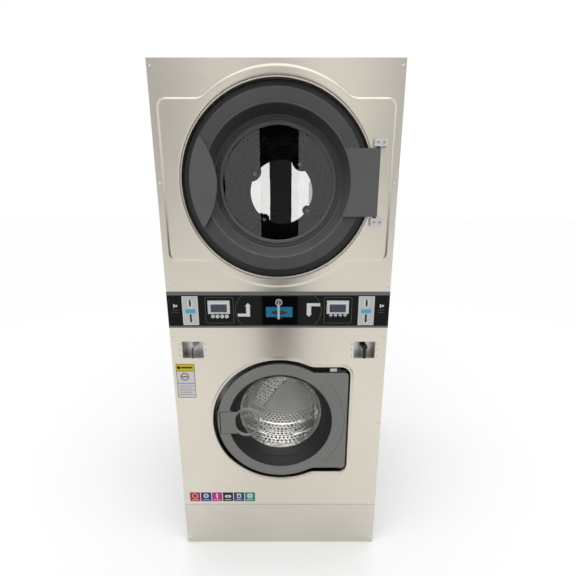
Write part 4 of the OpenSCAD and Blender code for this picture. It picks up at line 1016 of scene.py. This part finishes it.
for number in range(1, 5):
    x, _, z = middle(f"round_button_{number}")
    y = spans(f"round_button_{number}")[0].y
    ring = [circle(x, z, 3.1, 32), circle(x, z, 2.1, 32)]
    if number == 1:
        ring = frame_line(x, z, 7, 7, 1.2, 1.5)
    mark(f"round_button_mark_{number}", ring, y, PRINT_BLACK, f"round_key_{number}", 0.1)
    x, _, z = middle(f"oval_button_{number}")
    y = spans(f"oval_button_{number}")[0].y
    dash = [oblong(x, z, 5.4, 1.2, 0.5)]
    mark(f"oval_button_mark_{number}", dash, y, PRINT_BLACK, f"oval_key_{number}", 0.1)
    mark(f"oval_button_bracket_{number}", [oblong(x, z - 9, 9, 1.2, 0.5)], FASCIA_Y, PRINT_GREY)

# ---------- Labels on the washer panel ----------

NOTICE_X, NOTICE_Z = -379.5, 826.75
NOTICE = [
    ("border", [oblong(NOTICE_X, NOTICE_Z, 75, 151.5, 2)], 0, PRINT_BLACK, 0.1),
    ("header", [oblong(NOTICE_X, 886.5, 71, 28, 1)], -0.1, LABEL_YELLOW, 0.12),
    ("upper_field", [oblong(NOTICE_X, 843.5, 71, 53, 1)], -0.1, LABEL_WHITE, 0.12),
    ("lower_field", [oblong(NOTICE_X, 784, 71, 62, 1)], -0.1, LABEL_WHITE, 0.12),
    ("header_line", [oblong(NOTICE_X + 6, 886.5, 46, 7, 1)], -0.22, PRINT_BLACK, 0.08),
    ("header_dot", [circle(NOTICE_X - 26, 886.5, 7, 24)], -0.22, PRINT_BLACK, 0.08),
    ("drawing", [circle(NOTICE_X - 4, 846, radius, 40) for radius in (17, 13)], -0.22, PRINT_GREY, 0.08),
    ("drawing_bar", [oblong(NOTICE_X - 4, 846, 22, 6, 2)], -0.22, ICON_RED, 0.08),
]
for k in range(5):
    rule = oblong(NOTICE_X - (k % 2) * 4, 804 - 9.5 * k, 58 - (k % 2) * 8, 1.6, 0.6)
    NOTICE.append((f"rule_{k + 1}", [rule], -0.22, PRINT_GREY, 0.08))
for word, outlines, y, material, thick in NOTICE:
    slot = "bulkhead_black" if material == PRINT_BLACK else None
    mark(f"notice_{word}", outlines, y, material, thick=thick, slot=slot)

ICONS = [("red", ICON_RED), ("navy", ICON_NAVY), ("pink", ICON_PINK), ("black", ICON_BLACK),
         ("blue", ICON_NAVY), ("green", ICON_GREEN)]
for k, (word, colour) in enumerate(ICONS):
    x, z = -380 + 49.2 * k, 253
    mark(f"icon_{word}_square", [oblong(x, z, 46, 48, 2)], 0, colour)
    glyphs = [
        [circle(x, z + 5, 13, 36), circle(x, z + 5, 10, 36)],
        [circle(x, z + 5, 12, 36), oblong(x, z + 5, 9, 9, 2)],
        [oblong(x, z + 5, 8, 26, 4)],
        [oblong(x, z + 3, 28, 14, 6), circle(x, z + 3, 3.5, 20)],
        [oblong(x, z + 5, 20, 24, 3), circle(x, z + 4, 6, 28)],
        [circle(x, z + 5, 13, 36), oblong(x, z + 5, 4, 14, 1.5)],
    ]
    mark(f"icon_{word}_glyph", glyphs[k], -0.12, LABEL_WHITE, thick=0.08)
    mark(f"icon_{word}_rule", [oblong(x, z - 16, 30, 3, 1)], -0.12, LABEL_WHITE, thick=0.08)

# ---------- Stage, light and camera ----------

world = bpy.data.worlds.new("studio")
bpy.context.scene.world = world
world.use_nodes = True
background = world.node_tree.nodes["Background"].inputs
background["Color"].default_value = (1, 1, 1, 1)
background["Strength"].default_value = 1.0


def level(z):
    """Corners of a wide level card."""
    return [(-REACH, -REACH, z), (REACH, -REACH, z), (REACH, REACH, z), (-REACH, REACH, z)]


def upright(x1, y1, x2, y2, low, high):
    """Corners of an upright card."""
    return [(x1, y1, low), (x2, y2, low), (x2, y2, high), (x1, y1, high)]


def stage_card(name, corners, shade, camera=False, glossy=True, diffuse=True, shadow=True):
    """A plain card of the studio, seen only by the kinds of light ray that are named."""
    mesh = bpy.data.meshes.new(name)
    mesh.from_pydata(corners, [], [(0, 1, 2, 3)])
    card = bpy.data.objects.new(name, mesh)
    bpy.context.scene.collection.objects.link(card)
    mesh.materials.append(ink(f"{name}_paint", grey(shade), 0.8, 0.01))
    card.visible_camera = camera
    card.visible_glossy = glossy
    card.visible_diffuse = diffuse
    card.visible_transmission = not diffuse
    card.visible_shadow = shadow


# Metres from the middle to the edge of the floor
REACH = 40
stage_card("floor", level(0), 0.99, camera=True, diffuse=False)
stage_card("ground", level(-0.05), 0.12, glossy=False)
stage_card("dark_card", upright(-0.184, -1.88, 0.116, -1.88, 0, 2.4), 0.005, diffuse=False)
CARD_X = 2.4
for side, word in SIDES:
    x = CARD_X * side
    stage_card(f"side_card_{word}", upright(x, -3.2, x, 0.2, 0, 1.45), 0.05, diffuse=False, shadow=False)
    stage_card(f"wall_card_{word}", upright(x, -9, x, -3.4, 1.2, 7), 0.84, diffuse=False, shadow=False)


def area_light(name, size, energy, location, rotation, glossy=True):
    """A soft rectangular lamp, turned by angles in degrees from facing down."""
    data = bpy.data.lights.new(name, "AREA")
    data.shape = "RECTANGLE"
    data.size, data.size_y = size
    data.energy = energy
    light = bpy.data.objects.new(name, data)
    light.location = location
    light.rotation_euler = [math.radians(angle) for angle in rotation]
    light.visible_glossy = glossy
    light.visible_transmission = False
    bpy.context.scene.collection.objects.link(light)


area_light("softbox", (2.6, 0.9), 7, (0, -1.2, 3.7), (12, 0, 0))
area_light("ceiling_fill", (2.6, 0.9), 12, (0, -1.2, 3.7), (12, 0, 0), glossy=False)
area_light("washer_drum_lamp", (0.3, 0.12), 0.8, place(WASHER_X, 125, WASHER_Z + 190), (25, 0, 0))

camera_data = bpy.data.cameras.new("camera")
camera_data.lens = 20.86
camera_data.sensor_width = 36
camera_data.shift_x = -0.0019
camera = bpy.data.objects.new("camera", camera_data)
camera.location = (0.0419, -1.7202, 1.5163)
camera.rotation_euler = (math.radians(76.5), 0, 0)
bpy.context.scene.collection.objects.link(camera)
bpy.context.scene.camera = camera
bpy.context.scene.view_settings.view_transform = "Standard"
